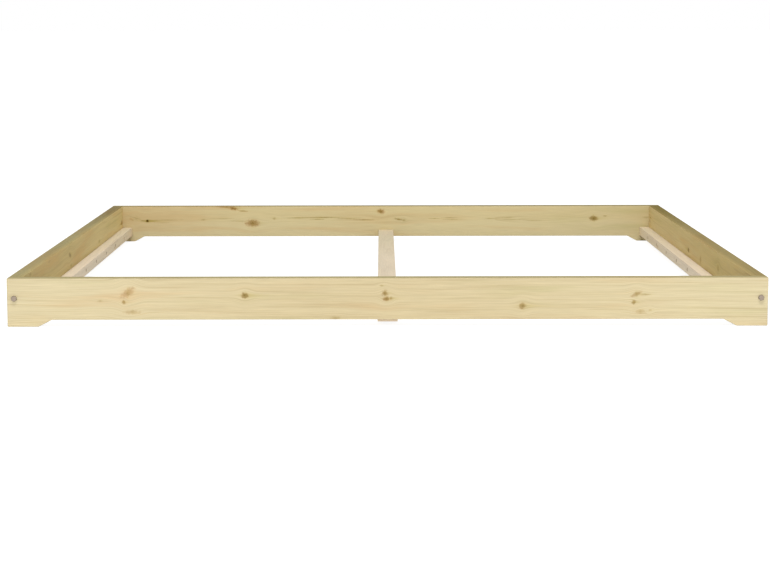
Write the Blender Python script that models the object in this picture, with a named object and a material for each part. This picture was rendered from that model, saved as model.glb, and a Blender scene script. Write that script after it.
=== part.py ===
"""Low futon bed frame of solid pine for a 1.80 m by 2.00 m sleeping surface.

Two end boards with feet stand across the bed, and two side boards run between them. Each corner is drawn
together by a hexagon head bolt and a barrel nut, and kept from turning by two fluted dowels. A ledge is screwed
to the inside of each side board, and a beam at mid width plugs into the end boards and stands on a low foot.

Units are metres. X runs across the bed, Y runs from the front board to the back board, Z is up, and the origin
is on the floor under the middle of the bed. Left is the side of negative X.
"""

import math

import bmesh
import bpy
from mathutils import Matrix, Vector

# Sleeping surface, measured between the boards
SLEEP_WIDTH = 1.800
SLEEP_LENGTH = 2.000

# End boards and side boards
BOARD_THICKNESS = 0.035
BOARD_HEIGHT = 0.120
BOARD_EDGE_ROUND = 0.003

# Foot cut-out in the lower edge of an end board
FOOT_HEIGHT = 0.017
FOOT_FLAT = 0.076
FOOT_SLOPE_RUN = 0.033

# Ledges that carry the slats
LEDGE_WIDTH = 0.032
LEDGE_HEIGHT = 0.028
LEDGE_RISE = 0.0025
LEDGE_END_GAP = 0.001
SAWN_EDGE_ROUND = 0.0012

# Centre beam and the foot under its middle
BEAM_WIDTH = 0.050
BEAM_HEIGHT = 0.032
BEAM_FOOT_HEIGHT = 0.0067
BEAM_FOOT_LENGTH = 0.110
BEAM_FOOT_WIDTH = 0.044

# Corner bolts with hexagon heads
BOLT_DIAMETER = 0.008
BOLT_HEAD_FLATS = 0.013
BOLT_HEAD_HEIGHT = 0.0053
BOLT_TIP_CHAMFER = 0.001
BOLT_PAST_NUT = 0.010
BOLT_HOLE_CLEARANCE = 0.0005
BOLT_HEIGHT_SHARE = 0.515
BOLT_CROWN_SHARE = 0.95
BOLT_TURNS = {
    ("front", "left"): math.radians(11.0),
    ("front", "right"): math.radians(-17.0),
    ("back", "left"): math.radians(24.0),
    ("back", "right"): math.radians(3.0),
}

# Barrel nuts in the side boards
NUT_DIAMETER = 0.012
NUT_INSET = 0.025
NUT_RECESS = 0.0055
NUT_EDGE_CHAMFER = 0.0007
NUT_SLOT_WIDTH = 0.0018
NUT_SLOT_DEPTH = 0.002

# Fluted wood dowels
DOWEL_DIAMETER = 0.008
DOWEL_LENGTH = 0.040
DOWEL_FLUTE_DEPTH = 0.0003
DOWEL_END_CHAMFER = 0.001
DOWEL_EDGE_DISTANCE = 0.0215
BEAM_DOWEL_SPACING = 0.026

# Countersunk wood screws
SCREW_DIAMETER = 0.004
SCREW_HEAD_DIAMETER = 0.008
SCREW_HEAD_RIM = 0.0004
SCREW_TIP_LENGTH = 0.005
SCREW_HEAD_SINK = 0.0008
SCREW_RECESS_WIDTH = 0.0038
SCREW_RECESS_DEPTH = 0.0015
LEDGE_SCREW_BITE = 0.020
LEDGE_SCREW_PITCH = 0.225
LEDGE_SCREW_SHIFT = -0.0175
LEDGE_SCREW_END_LEAST = 0.150
LEDGE_BORE_DIAMETER = 0.011
LEDGE_BORE_DEPTH = 0.008
FOOT_SCREW_BITE = 0.016
FOOT_SCREW_END_DISTANCE = 0.020
RECESS_WAIST_SHARE = 0.62

# Gaps: between faces that touch, behind the end of a blind piece, and past a face that a cutter leaves by
FIT_GAP = 0.0003
BORE_END_ROOM = 0.001
CUT_OVERRUN = 0.002
WELD_DISTANCE = 0.000001

# Fineness of the round shapes
BORE_SIDES = 16
SHANK_SIDES = 16
CROWN_SIDES = 24
ROUND_SEGMENTS = 3
SAWN_SEGMENTS = 1
DOWEL_FLUTES = 10
RECESS_LOBES = 6
SMOOTH_ANGLE = math.radians(35.0)
CROWN_ANGLE = math.radians(30.0)

# Sizes that follow from those above
frame_width = SLEEP_WIDTH + 2 * BOARD_THICKNESS
side_board_height = BOARD_HEIGHT - FOOT_HEIGHT
side_board_length = SLEEP_LENGTH - 2 * FIT_GAP
inner_x = SLEEP_WIDTH / 2
inner_y = SLEEP_LENGTH / 2
side_middle_x = inner_x + BOARD_THICKNESS / 2
end_middle_y = inner_y + BOARD_THICKNESS / 2
outer_y = inner_y + BOARD_THICKNESS
bolt_z = FOOT_HEIGHT + side_board_height * BOLT_HEIGHT_SHARE
dowel_levels = (FOOT_HEIGHT + DOWEL_EDGE_DISTANCE, BOARD_HEIGHT - DOWEL_EDGE_DISTANCE)
bolt_length = BOARD_THICKNESS + NUT_INSET + BOLT_PAST_NUT
bolt_bore_radius = BOLT_DIAMETER / 2 + BOLT_HOLE_CLEARANCE
nut_length = BOARD_THICKNESS - 2 * NUT_RECESS
nut_y = inner_y - NUT_INSET
dowel_bore_radius = DOWEL_DIAMETER / 2 + FIT_GAP
dowel_reach = DOWEL_LENGTH / 2 + BORE_END_ROOM
ledge_length = SLEEP_LENGTH - 2 * LEDGE_END_GAP
ledge_bottom = FOOT_HEIGHT + LEDGE_RISE
ledge_middle_z = ledge_bottom + LEDGE_HEIGHT / 2
ledge_outer_x = inner_x - FIT_GAP
ledge_inner_x = ledge_outer_x - LEDGE_WIDTH
ledge_bore_bottom_x = ledge_inner_x + LEDGE_BORE_DEPTH
ledge_head_x = ledge_bore_bottom_x + SCREW_HEAD_SINK
beam_bottom = BEAM_FOOT_HEIGHT + FIT_GAP
beam_top = beam_bottom + BEAM_HEIGHT
beam_length = SLEEP_LENGTH - 2 * FIT_GAP
beam_dowel_z = (FOOT_HEIGHT + beam_top) / 2
ledge_screw_length = inner_x - ledge_head_x + LEDGE_SCREW_BITE
foot_screw_length = BEAM_FOOT_HEIGHT - SCREW_HEAD_SINK + FIT_GAP + FOOT_SCREW_BITE
foot_screw_y = BEAM_FOOT_LENGTH / 2 - FOOT_SCREW_END_DISTANCE
screw_bore_radius = SCREW_DIAMETER / 2 + FIT_GAP

# Where names and signs go together: the front end and the left side are the negative ones
ENDS = (("front", -1), ("back", 1))
SIDES = (("left", -1), ("right", 1))
AXIS_Y = Vector((0, 1, 0))
AXIS_Z = Vector((0, 0, 1))


def clear_scene():
    """Remove whatever the open file holds."""
    for old in list(bpy.data.objects):
        bpy.data.objects.remove(old, do_unlink=True)


def make_material(name, colour, roughness, metallic):
    """A plain Principled material."""
    material = bpy.data.materials.new(name)
    material.use_nodes = True
    shader = material.node_tree.nodes["Principled BSDF"]
    shader.inputs["Base Color"].default_value = (*colour, 1.0)
    shader.inputs["Roughness"].default_value = roughness
    shader.inputs["Metallic"].default_value = metallic
    return material


def mesh_from(bm, name, smooth=False):
    """Turn a bmesh into a mesh with its faces pointing out."""
    bmesh.ops.recalc_face_normals(bm, faces=bm.faces)
    mesh = bpy.data.meshes.new(name)
    bm.to_mesh(mesh)
    bm.free()
    if smooth:
        mesh.shade_smooth()
        mesh.set_sharp_from_angle(angle=SMOOTH_ANGLE)
    return mesh


def add_object(name, mesh, location=(0, 0, 0), turn=Matrix(), material=None, parent=None):
    """Place a mesh in the scene as one named object."""
    piece = bpy.data.objects.new(name, mesh)
    bpy.context.scene.collection.objects.link(piece)
    piece.matrix_world = Matrix.Translation(location) @ turn.to_4x4()
    if parent is not None:
        piece.parent = parent
    if material is not None:
        piece.data.materials.clear()
        piece.data.materials.append(material)
    return piece


def add_cutter(name, mesh, location=(0, 0, 0)):
    """Place a mesh that only cuts or joins other pieces."""
    cutter = add_object(name, mesh, location)
    cutter.hide_render = True
    cutter.display_type = "WIRE"
    return cutter


def combine(piece, other, operation):
    """Cut, join or intersect a piece with a cutter, by a modifier that stays on it."""
    boolean = piece.modifiers.new(other.name, "BOOLEAN")
    boolean.operation = operation
    boolean.solver = "EXACT"
    boolean.object = other


def even_shading(piece):
    """Let the broad flat faces of a rounded piece set its normals."""
    weighting = piece.modifiers.new("even_shading", "WEIGHTED_NORMAL")
    weighting.keep_sharp = True


def finished_mesh(piece, name, smooth=False):
    """The mesh that an object has once its modifiers have run, for the copies of that piece."""
    bpy.context.view_layer.update()
    shaped = piece.evaluated_get(bpy.context.evaluated_depsgraph_get())
    mesh = bpy.data.meshes.new_from_object(shaped)
    mesh.name = name
    if smooth:
        mesh.shade_smooth()
        mesh.set_sharp_from_angle(angle=SMOOTH_ANGLE)
    return mesh


def discard(*objects):
    """Remove the objects that a finished mesh was made from."""
    for used in objects:
        bpy.data.objects.remove(used, do_unlink=True)


def box_bmesh(size):
    """A box centred on its origin."""
    bm = bmesh.new()
    bmesh.ops.create_cube(bm, size=1.0)
    bmesh.ops.scale(bm, vec=Vector(size), verts=bm.verts)
    return bm


def round_edges(bm, edges, width, segments):
    """Round a set of edges."""
    bmesh.ops.bevel(
        bm,
        geom=edges,
        offset=width,
        offset_type="OFFSET",
        segments=segments,
        profile=0.5,
        affect="EDGES",
        clamp_overlap=True,
    )


def edges_along(bm, axis):
    """The edges of a box that run along one axis."""
    found = []
    for edge in bm.edges:
        run = edge.verts[1].co - edge.verts[0].co
        if abs(run.normalized().dot(axis)) > math.cos(SMOOTH_ANGLE):
            found.append(edge)
    return found


def turned_bmesh(profile, sides):
    """A solid turned about Z from (radius, height) points that start and end on the axis."""
    bm = bmesh.new()
    points = [bm.verts.new((radius, 0, height)) for radius, height in profile]
    lines = [bm.edges.new(pair) for pair in zip(points, points[1:])]
    bmesh.ops.spin(
        bm,
        geom=points + lines,
        cent=(0, 0, 0),
        axis=AXIS_Z,
        angle=2 * math.pi,
        steps=sides,
    )
    bmesh.ops.remove_doubles(bm, verts=bm.verts, dist=WELD_DISTANCE)
    bmesh.ops.dissolve_degenerate(bm, dist=WELD_DISTANCE, edges=bm.edges)
    return bm


def prism_bmesh(points, low, high):
    """An outline in X and Y, given as points, extruded from one height to another."""
    bm = bmesh.new()
    corners = [bm.verts.new((x, y, low)) for x, y in points]
    face = bm.faces.new(corners)
    raised = bmesh.ops.extrude_face_region(bm, geom=[face])["geom"]
    moved = [item for item in raised if isinstance(item, bmesh.types.BMVert)]
    bmesh.ops.translate(bm, vec=AXIS_Z * (high - low), verts=moved)
    return bm


def bores_mesh(name, bores):
    """One cutter for several round bores, each given as (start, end, radius)."""
    bm = bmesh.new()
    for start, end, radius in bores:
        start = Vector(start)
        run = Vector(end) - start
        turn = run.to_track_quat("Z", "Y").to_matrix().to_4x4()
        place = Matrix.Translation(start + run / 2) @ turn
        bmesh.ops.create_cone(
            bm,
            cap_ends=True,
            segments=BORE_SIDES,
            radius1=radius,
            radius2=radius,
            depth=run.length,
            matrix=place,
        )
    return mesh_from(bm, name)


def screw_profile(length, gap=0.0, overrun=0.0, tip=True):
    """Profile of a countersunk screw with its head's top at zero, or of the hole that takes it."""
    shank = SCREW_DIAMETER / 2 + gap
    head = SCREW_HEAD_DIAMETER / 2 + gap
    cone_end = -SCREW_HEAD_RIM - (head - shank)
    if tip:
        end_points = [(shank, SCREW_TIP_LENGTH - length), (0, -length)]
    else:
        end_points = [(shank, -length - overrun), (0, -length - overrun)]
    return [(0, overrun), (head, overrun), (head, -SCREW_HEAD_RIM), (shank, cone_end), *end_points]


def sunk_holes_mesh(name, places, turn, depth):
    """One cutter for countersunk holes whose screws lie with their heads' tops at the given places."""
    bm = bmesh.new()
    hole = turned_bmesh(screw_profile(depth, FIT_GAP, CUT_OVERRUN, tip=False), BORE_SIDES)
    pattern = mesh_from(hole, name + "_pattern")
    for place in places:
        added_from = len(bm.verts)
        bm.from_mesh(pattern)
        bm.verts.ensure_lookup_table()
        placing = Matrix.Translation(place) @ turn.to_4x4()
        bmesh.ops.transform(bm, matrix=placing, verts=bm.verts[added_from:])
    bpy.data.meshes.remove(pattern)
    return mesh_from(bm, name)


def turn_about(axis, angle):
    """A rotation about one axis."""
    return Matrix.Rotation(angle, 3, axis)


def facing_out_of_end(end_sign):
    """Turn a piece so that its Z points out of the front or the back of the bed."""
    return turn_about("X", -end_sign * math.pi / 2)


def facing_middle(side_sign):
    """Turn a piece so that its Z points from a side board to the middle of the bed."""
    return turn_about("Y", -side_sign * math.pi / 2)


def ledge_screw_rows():
    """Places along the bed of the screws in a ledge, evenly spaced and a little nearer the front."""
    usable = ledge_length - 2 * (LEDGE_SCREW_END_LEAST + abs(LEDGE_SCREW_SHIFT))
    count = max(2, int(usable // LEDGE_SCREW_PITCH) + 1)
    return [LEDGE_SCREW_SHIFT + (index - (count - 1) / 2) * LEDGE_SCREW_PITCH for index in range(count)]


def end_board_bmesh():
    """Outline of an end board with its foot cut-out, extruded to its thickness and rounded all over."""
    half = frame_width / 2
    toe = half - FOOT_FLAT
    instep = toe - FOOT_SLOPE_RUN
    outline = (
        (-half, 0),
        (-toe, 0),
        (-instep, FOOT_HEIGHT),
        (instep, FOOT_HEIGHT),
        (toe, 0),
        (half, 0),
        (half, BOARD_HEIGHT),
        (-half, BOARD_HEIGHT),
    )
    bm = prism_bmesh(outline, -BOARD_THICKNESS / 2, BOARD_THICKNESS / 2)
    bmesh.ops.rotate(bm, cent=(0, 0, 0), matrix=turn_about("X", math.pi / 2), verts=bm.verts)
    round_edges(bm, list(bm.edges), BOARD_EDGE_ROUND, ROUND_SEGMENTS)
    return bm


def add_end_board(end_name, end_sign, material, parent):
    """An end board with its bores for the corner bolts, the corner dowels and the beam's dowels."""
    name = end_name + "_board"
    board = add_object(
        name,
        mesh_from(end_board_bmesh(), name, smooth=True),
        (0, end_sign * end_middle_y, 0),
        material=material,
        parent=parent,
    )
    outside = end_sign * (outer_y + CUT_OVERRUN)
    inside = end_sign * (inner_y - CUT_OVERRUN)
    blind = end_sign * (inner_y + dowel_reach)
    bores = []
    for _, side_sign in SIDES:
        x = side_sign * side_middle_x
        bores.append(((x, outside, bolt_z), (x, inside, bolt_z), bolt_bore_radius))
        for z in dowel_levels:
            bores.append(((x, inside, z), (x, blind, z), dowel_bore_radius))
        x = side_sign * BEAM_DOWEL_SPACING / 2
        bores.append(((x, inside, beam_dowel_z), (x, blind, beam_dowel_z), dowel_bore_radius))
    combine(board, add_cutter(name + "_bores", bores_mesh(name + "_bores", bores)), "DIFFERENCE")
    even_shading(board)
    return board


def add_side_board(side_name, side_sign, material, parent):
    """A side board with bores in both ends, barrel nut bores and blind holes for the ledge screws."""
    name = "side_board_" + side_name
    bm = box_bmesh((BOARD_THICKNESS, side_board_length, side_board_height))
    round_edges(bm, edges_along(bm, AXIS_Y), BOARD_EDGE_ROUND, ROUND_SEGMENTS)
    x = side_sign * side_middle_x
    board = add_object(
        name,
        mesh_from(bm, name, smooth=True),
        (x, 0, FOOT_HEIGHT + side_board_height / 2),
        material=material,
        parent=parent,
    )
    end_bores = []
    nut_bores = []
    face = side_sign * (inner_x - CUT_OVERRUN)
    nut_bottom = side_sign * (inner_x + NUT_RECESS + nut_length + BORE_END_ROOM)
    for _, end_sign in ENDS:
        mouth = end_sign * (inner_y + CUT_OVERRUN)
        bolt_bottom = end_sign * (outer_y - bolt_length - BORE_END_ROOM)
        dowel_bottom = end_sign * (inner_y - dowel_reach)
        end_bores.append(((x, mouth, bolt_z), (x, bolt_bottom, bolt_z), bolt_bore_radius))
        for z in dowel_levels:
            end_bores.append(((x, mouth, z), (x, dowel_bottom, z), dowel_bore_radius))
        y = end_sign * nut_y
        nut_bores.append(((face, y, bolt_z), (nut_bottom, y, bolt_z), NUT_DIAMETER / 2 + FIT_GAP))
    tip = side_sign * (inner_x + LEDGE_SCREW_BITE + BORE_END_ROOM)
    pilots = [
        ((face, y, ledge_middle_z), (tip, y, ledge_middle_z), screw_bore_radius)
        for y in ledge_screw_rows()
    ]
    for label, bores in (("_end_bores", end_bores), ("_nut_bores", nut_bores), ("_pilots", pilots)):
        combine(board, add_cutter(name + label, bores_mesh(name + label, bores)), "DIFFERENCE")
    even_shading(board)
    return board


def add_ledge(side_name, side_sign, material, parent):
    """A sawn strip on the inside of a side board, with counterbored screw holes in its inner face."""
    name = "ledge_" + side_name
    bm = box_bmesh((LEDGE_WIDTH, ledge_length, LEDGE_HEIGHT))
    round_edges(bm, edges_along(bm, AXIS_Y), SAWN_EDGE_ROUND, SAWN_SEGMENTS)
    ledge = add_object(
        name,
        mesh_from(bm, name),
        (side_sign * (ledge_outer_x + ledge_inner_x) / 2, 0, ledge_middle_z),
        material=material,
        parent=parent,
    )
    mouth_x = side_sign * (ledge_inner_x - CUT_OVERRUN)
    bottom_x = side_sign * ledge_bore_bottom_x
    bores = [
        ((mouth_x, y, ledge_middle_z), (bottom_x, y, ledge_middle_z), LEDGE_BORE_DIAMETER / 2)
        for y in ledge_screw_rows()
    ]
    combine(ledge, add_cutter(name + "_bores", bores_mesh(name + "_bores", bores)), "DIFFERENCE")
    head_x = side_sign * ledge_head_x
    places = [Vector((head_x, y, ledge_middle_z)) for y in ledge_screw_rows()]
    depth = ledge_outer_x - ledge_head_x
    holes = sunk_holes_mesh(name + "_holes", places, facing_middle(side_sign), depth)
    combine(ledge, add_cutter(name + "_holes", holes), "DIFFERENCE")
    return ledge


def add_beam(material, parent):
    """The sawn centre beam with dowel bores in its ends and blind holes for the foot's screws."""
    bm = box_bmesh((BEAM_WIDTH, beam_length, BEAM_HEIGHT))
    round_edges(bm, edges_along(bm, AXIS_Y), SAWN_EDGE_ROUND, SAWN_SEGMENTS)
    beam = add_object(
        "centre_beam",
        mesh_from(bm, "centre_beam"),
        (0, 0, beam_bottom + BEAM_HEIGHT / 2),
        material=material,
        parent=parent,
    )
    bores = []
    for _, end_sign in ENDS:
        mouth = end_sign * (inner_y + CUT_OVERRUN)
        bottom = end_sign * (inner_y - dowel_reach)
        for _, side_sign in SIDES:
            x = side_sign * BEAM_DOWEL_SPACING / 2
            bores.append(((x, mouth, beam_dowel_z), (x, bottom, beam_dowel_z), dowel_bore_radius))
        y = end_sign * foot_screw_y
        tip = beam_bottom + FOOT_SCREW_BITE + BORE_END_ROOM
        bores.append(((0, y, beam_bottom - CUT_OVERRUN), (0, y, tip), screw_bore_radius))
    combine(beam, add_cutter("centre_beam_bores", bores_mesh("centre_beam_bores", bores)), "DIFFERENCE")
    return beam


def add_beam_foot(material, parent):
    """The low block under the middle of the beam, with countersunk holes in its underside."""
    bm = box_bmesh((BEAM_FOOT_WIDTH, BEAM_FOOT_LENGTH, BEAM_FOOT_HEIGHT))
    round_edges(bm, edges_along(bm, AXIS_Z), SAWN_EDGE_ROUND, SAWN_SEGMENTS)
    foot = add_object(
        "beam_foot",
        mesh_from(bm, "beam_foot"),
        (0, 0, BEAM_FOOT_HEIGHT / 2),
        material=material,
        parent=parent,
    )
    places = [Vector((0, end_sign * foot_screw_y, SCREW_HEAD_SINK)) for _, end_sign in ENDS]
    holes = sunk_holes_mesh("beam_foot_holes", places, turn_about("X", math.pi), BEAM_FOOT_HEIGHT)
    combine(foot, add_cutter("beam_foot_holes", holes), "DIFFERENCE")
    return foot


def bolt_mesh():
    """A bolt along Z: the head stands on zero, crowned on top, and the shank hangs below it."""
    corner_radius = BOLT_HEAD_FLATS / math.sqrt(3)
    crown_radius = BOLT_HEAD_FLATS / 2 * BOLT_CROWN_SHARE
    fall = math.tan(CROWN_ANGLE)
    rim_radius = corner_radius + CUT_OVERRUN
    head = bmesh.new()
    bmesh.ops.create_cone(
        head,
        cap_ends=True,
        segments=6,
        radius1=corner_radius,
        radius2=corner_radius,
        depth=BOLT_HEAD_HEIGHT,
        matrix=Matrix.Translation(AXIS_Z * BOLT_HEAD_HEIGHT / 2),
    )
    bolt = add_object("bolt_pattern", mesh_from(head, "bolt_pattern"))
    crown_profile = (
        (0, BOLT_HEAD_HEIGHT + crown_radius * fall),
        (rim_radius, BOLT_HEAD_HEIGHT - (rim_radius - crown_radius) * fall),
        (rim_radius, -CUT_OVERRUN),
        (0, -CUT_OVERRUN),
    )
    crown = add_cutter("bolt_crown", mesh_from(turned_bmesh(crown_profile, CROWN_SIDES), "bolt_crown"))
    combine(bolt, crown, "INTERSECT")
    radius = BOLT_DIAMETER / 2
    shank_profile = (
        (0, BOLT_HEAD_HEIGHT / 2),
        (radius, BOLT_HEAD_HEIGHT / 2),
        (radius, BOLT_TIP_CHAMFER - bolt_length),
        (radius - BOLT_TIP_CHAMFER, -bolt_length),
        (0, -bolt_length),
    )
    shank = add_cutter("bolt_shank", mesh_from(turned_bmesh(shank_profile, SHANK_SIDES), "bolt_shank"))
    combine(bolt, shank, "UNION")
    mesh = finished_mesh(bolt, "corner_bolt", smooth=True)
    discard(bolt, crown, shank)
    return mesh


def nut_mesh():
    """A barrel nut along Z, slotted at its top, with its cross bore along Y."""
    radius = NUT_DIAMETER / 2
    top = nut_length / 2
    profile = (
        (0, top),
        (radius - NUT_EDGE_CHAMFER, top),
        (radius, top - NUT_EDGE_CHAMFER),
        (radius, NUT_EDGE_CHAMFER - top),
        (radius - NUT_EDGE_CHAMFER, -top),
        (0, -top),
    )
    nut = add_object("nut_pattern", mesh_from(turned_bmesh(profile, BORE_SIDES), "nut_pattern"))
    reach = AXIS_Y * (radius + CUT_OVERRUN)
    bore = add_cutter(
        "nut_cross_bore",
        bores_mesh("nut_cross_bore", [(reach, -reach, BOLT_DIAMETER / 2 + FIT_GAP)]),
    )
    slot_size = (NUT_SLOT_WIDTH, NUT_DIAMETER + CUT_OVERRUN, 2 * NUT_SLOT_DEPTH)
    slot = add_cutter("nut_slot", mesh_from(box_bmesh(slot_size), "nut_slot"), AXIS_Z * top)
    combine(nut, bore, "DIFFERENCE")
    combine(nut, slot, "DIFFERENCE")
    mesh = finished_mesh(nut, "barrel_nut", smooth=True)
    discard(nut, bore, slot)
    return mesh


def dowel_mesh():
    """A fluted dowel along Z with chamfered ends."""
    crest = DOWEL_DIAMETER / 2
    valley = crest - DOWEL_FLUTE_DEPTH
    outline = []
    for index in range(2 * DOWEL_FLUTES):
        radius = valley if index % 2 else crest
        angle = math.pi * index / DOWEL_FLUTES
        outline.append((radius * math.cos(angle), radius * math.sin(angle)))
    bm = prism_bmesh(outline, -DOWEL_LENGTH / 2, DOWEL_LENGTH / 2)
    lengthwise = edges_along(bm, AXIS_Z)
    rims = [edge for edge in bm.edges if edge not in lengthwise]
    round_edges(bm, rims, DOWEL_END_CHAMFER, SAWN_SEGMENTS)
    return mesh_from(bm, "wood_dowel", smooth=True)


def screw_mesh(name, length):
    """A countersunk screw along Z with its head's top at zero and a star recess in it."""
    bm = turned_bmesh(screw_profile(length), SHANK_SIDES)
    screw = add_object("screw_pattern", mesh_from(bm, "screw_pattern"))
    outline = []
    for index in range(2 * RECESS_LOBES):
        radius = SCREW_RECESS_WIDTH / 2 * (RECESS_WAIST_SHARE if index % 2 else 1)
        angle = math.pi * index / RECESS_LOBES
        outline.append((radius * math.cos(angle), radius * math.sin(angle)))
    star = mesh_from(prism_bmesh(outline, -SCREW_RECESS_DEPTH, CUT_OVERRUN), "screw_recess")
    recess = add_cutter("screw_recess", star)
    combine(screw, recess, "DIFFERENCE")
    mesh = finished_mesh(screw, name, smooth=True)
    discard(screw, recess)
    return mesh


def add_corner_joints(steel, beech, parent):
    """A bolt, a barrel nut and two dowels at each of the four corners."""
    bolt = bolt_mesh()
    nut = nut_mesh()
    dowel = dowel_mesh()
    for end_name, end_sign in ENDS:
        for side_name, side_sign in SIDES:
            corner = end_name + "_" + side_name
            x = side_sign * side_middle_x
            turn = facing_out_of_end(end_sign) @ turn_about("Z", BOLT_TURNS[end_name, side_name])
            head_y = end_sign * (outer_y + FIT_GAP)
            add_object("corner_bolt_" + corner, bolt, (x, head_y, bolt_z), turn, steel, parent)
            nut_place = (x, end_sign * nut_y, bolt_z)
            add_object("barrel_nut_" + corner, nut, nut_place, facing_middle(side_sign), steel, parent)
            for level, z in zip(("lower", "upper"), dowel_levels):
                name = "corner_dowel_" + corner + "_" + level
                place = (x, end_sign * inner_y, z)
                add_object(name, dowel, place, facing_out_of_end(end_sign), beech, parent)


def add_beam_dowels(beech, parent):
    """Two dowels in each end of the centre beam."""
    dowel = dowel_mesh()
    for end_name, end_sign in ENDS:
        for side_name, side_sign in SIDES:
            name = "beam_dowel_" + end_name + "_" + side_name
            place = (side_sign * BEAM_DOWEL_SPACING / 2, end_sign * inner_y, beam_dowel_z)
            add_object(name, dowel, place, facing_out_of_end(end_sign), beech, parent)


def add_screws(steel, parent):
    """The screws of both ledges and of the beam's foot."""
    ledge_screw = screw_mesh("ledge_screw", ledge_screw_length)
    for side_name, side_sign in SIDES:
        for index, y in enumerate(ledge_screw_rows()):
            name = "ledge_screw_" + side_name + "_" + str(index + 1)
            place = (side_sign * ledge_head_x, y, ledge_middle_z)
            add_object(name, ledge_screw, place, facing_middle(side_sign), steel, parent)
    foot_screw = screw_mesh("foot_screw", foot_screw_length)
    for end_name, end_sign in ENDS:
        place = (0, end_sign * foot_screw_y, SCREW_HEAD_SINK)
        turn = turn_about("X", math.pi)
        add_object("foot_screw_" + end_name, foot_screw, place, turn, steel, parent)


def build_bed():
    """Model the whole bed."""
    clear_scene()
    pine = make_material("lacquered_pine", (0.74, 0.62, 0.36), 0.45, 0.0)
    spruce = make_material("raw_spruce", (0.73, 0.61, 0.45), 0.75, 0.0)
    beech = make_material("beech_dowel", (0.60, 0.42, 0.24), 0.70, 0.0)
    steel = make_material("zinc_steel", (0.40, 0.36, 0.33), 0.40, 0.85)
    frame = bpy.data.objects.new("bed_frame", None)
    bpy.context.scene.collection.objects.link(frame)
    for end_name, end_sign in ENDS:
        add_end_board(end_name, end_sign, pine, frame)
    for side_name, side_sign in SIDES:
        add_side_board(side_name, side_sign, pine, frame)
        add_ledge(side_name, side_sign, spruce, frame)
    add_beam(spruce, frame)
    add_beam_foot(spruce, frame)
    add_corner_joints(steel, beech, frame)
    add_beam_dowels(beech, frame)
    add_screws(steel, frame)


build_bed()
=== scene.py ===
"""Looks of a low futon bed frame of solid pine, built round its packed construction.

The boards, the raw wood and the hardware are modelled again with fine rounds, holes and threads, in the
places that the construction gives. Their finishes are made of nodes: lacquered pine with its own knots on
each board, sawn spruce, turned beech and zinc plated steel. The pine and the spruce carry painted light and
shade, and the bores painted shade. Units are metres; X runs across the bed, Y from front to back, Z is up.
"""

import math
from collections import namedtuple
from functools import partial

import bmesh
import bpy
from bpy.props import FloatProperty, FloatVectorProperty, IntProperty, PointerProperty
from mathutils import Matrix, Vector


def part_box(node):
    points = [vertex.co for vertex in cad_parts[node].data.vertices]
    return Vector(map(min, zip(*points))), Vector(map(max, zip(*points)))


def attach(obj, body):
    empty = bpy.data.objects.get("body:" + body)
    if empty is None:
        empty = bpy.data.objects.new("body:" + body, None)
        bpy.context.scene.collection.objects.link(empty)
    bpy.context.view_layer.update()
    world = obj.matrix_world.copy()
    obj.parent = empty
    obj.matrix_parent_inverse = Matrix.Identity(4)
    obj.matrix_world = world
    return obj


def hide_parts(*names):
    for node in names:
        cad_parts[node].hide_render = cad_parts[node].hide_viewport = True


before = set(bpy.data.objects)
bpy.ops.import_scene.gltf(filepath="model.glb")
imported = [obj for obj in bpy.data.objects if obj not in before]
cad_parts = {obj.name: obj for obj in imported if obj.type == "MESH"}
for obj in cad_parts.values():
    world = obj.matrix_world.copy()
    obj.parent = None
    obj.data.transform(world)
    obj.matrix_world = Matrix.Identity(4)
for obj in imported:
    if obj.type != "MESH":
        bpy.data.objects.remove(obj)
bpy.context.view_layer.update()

bl_info = {
    "name": "Low futon bed",
    "version": (1, 0, 0),
    "blender": (4, 5, 0),
    "location": "3D View > Sidebar > Futon Bed",
    "description": "Models and finishes the boards, raw wood and hardware of a low futon bed",
    "category": "Object",
}

PHOTO_WIDTH = 770

# The bed's ends with their signs along Y, its sides with their signs along X, and how far the head of each
# corner's bolt is turned, in degrees
ENDS = (("front", -1), ("back", 1))
SIDES = (("left", -1), ("right", 1))
BOLT_TURNS = {"front_left": 11.0, "front_right": -17.0, "back_left": 24.0, "back_right": 3.0}

# Lengths below which two places are the same, and by which a cutter runs past what it cuts
NEAR = 0.0001
CUT_OVERRUN = 0.002

# A bore is this many fit gaps deeper than what lies in it
END_ROOM_GAPS = 3

# Sides of the round pieces and cutters, of a bolt's head and of a screw's star recess
BORE_SIDES = 32
PILOT_SIDES = 20
NUT_SIDES = 48
HOLE_SIDES = 48
SHANK_SIDES = 32
CROWN_SIDES = 64
SCREW_SIDES = 24
HEAD_SIDES = 6
STAR_POINTS = 12

# Facets across the sawn pieces' broken edges, and rings in one turn of a thread
ARRIS_SEGMENTS = 3
BOLT_RINGS_PER_TURN = 6
SCREW_RINGS_PER_TURN = 5

# Depth of a bolt's thread as a share of its pitch, and of a screw's thread as a share of its radius
BOLT_THREAD_SHARE = 0.6
SCREW_THREAD_SHARE = 0.32

# Chamfer of a bolt's head, and the angles over which edges are rounded or shaded sharp
HEAD_CHAMFER = math.radians(30.0)
ROUNDED_FROM = math.radians(20.0)
SHARP_FROM = math.radians(30.0)

# A face whose normal has less than this along Z looks down
LOOKS_DOWN = -0.9

# Where each board's inner and outer faces and its underside lie
FOOT_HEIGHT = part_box("side_board_right")[0].z
INNER_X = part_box("side_board_right")[0].x
INNER_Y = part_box("back_board")[0].y
OUTER_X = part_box("back_board")[1].x
OUTER_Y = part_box("back_board")[1].y
SIDE_MIDDLE_X = (INNER_X + OUTER_X) / 2

# A knot's place on its board, its length and height, how far it leans, which way and how far it smears the
# grain, how dark it is, and how strong the orange stain round it is
Knot = namedtuple("Knot", "along across length height lean tail dark stain")

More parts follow.
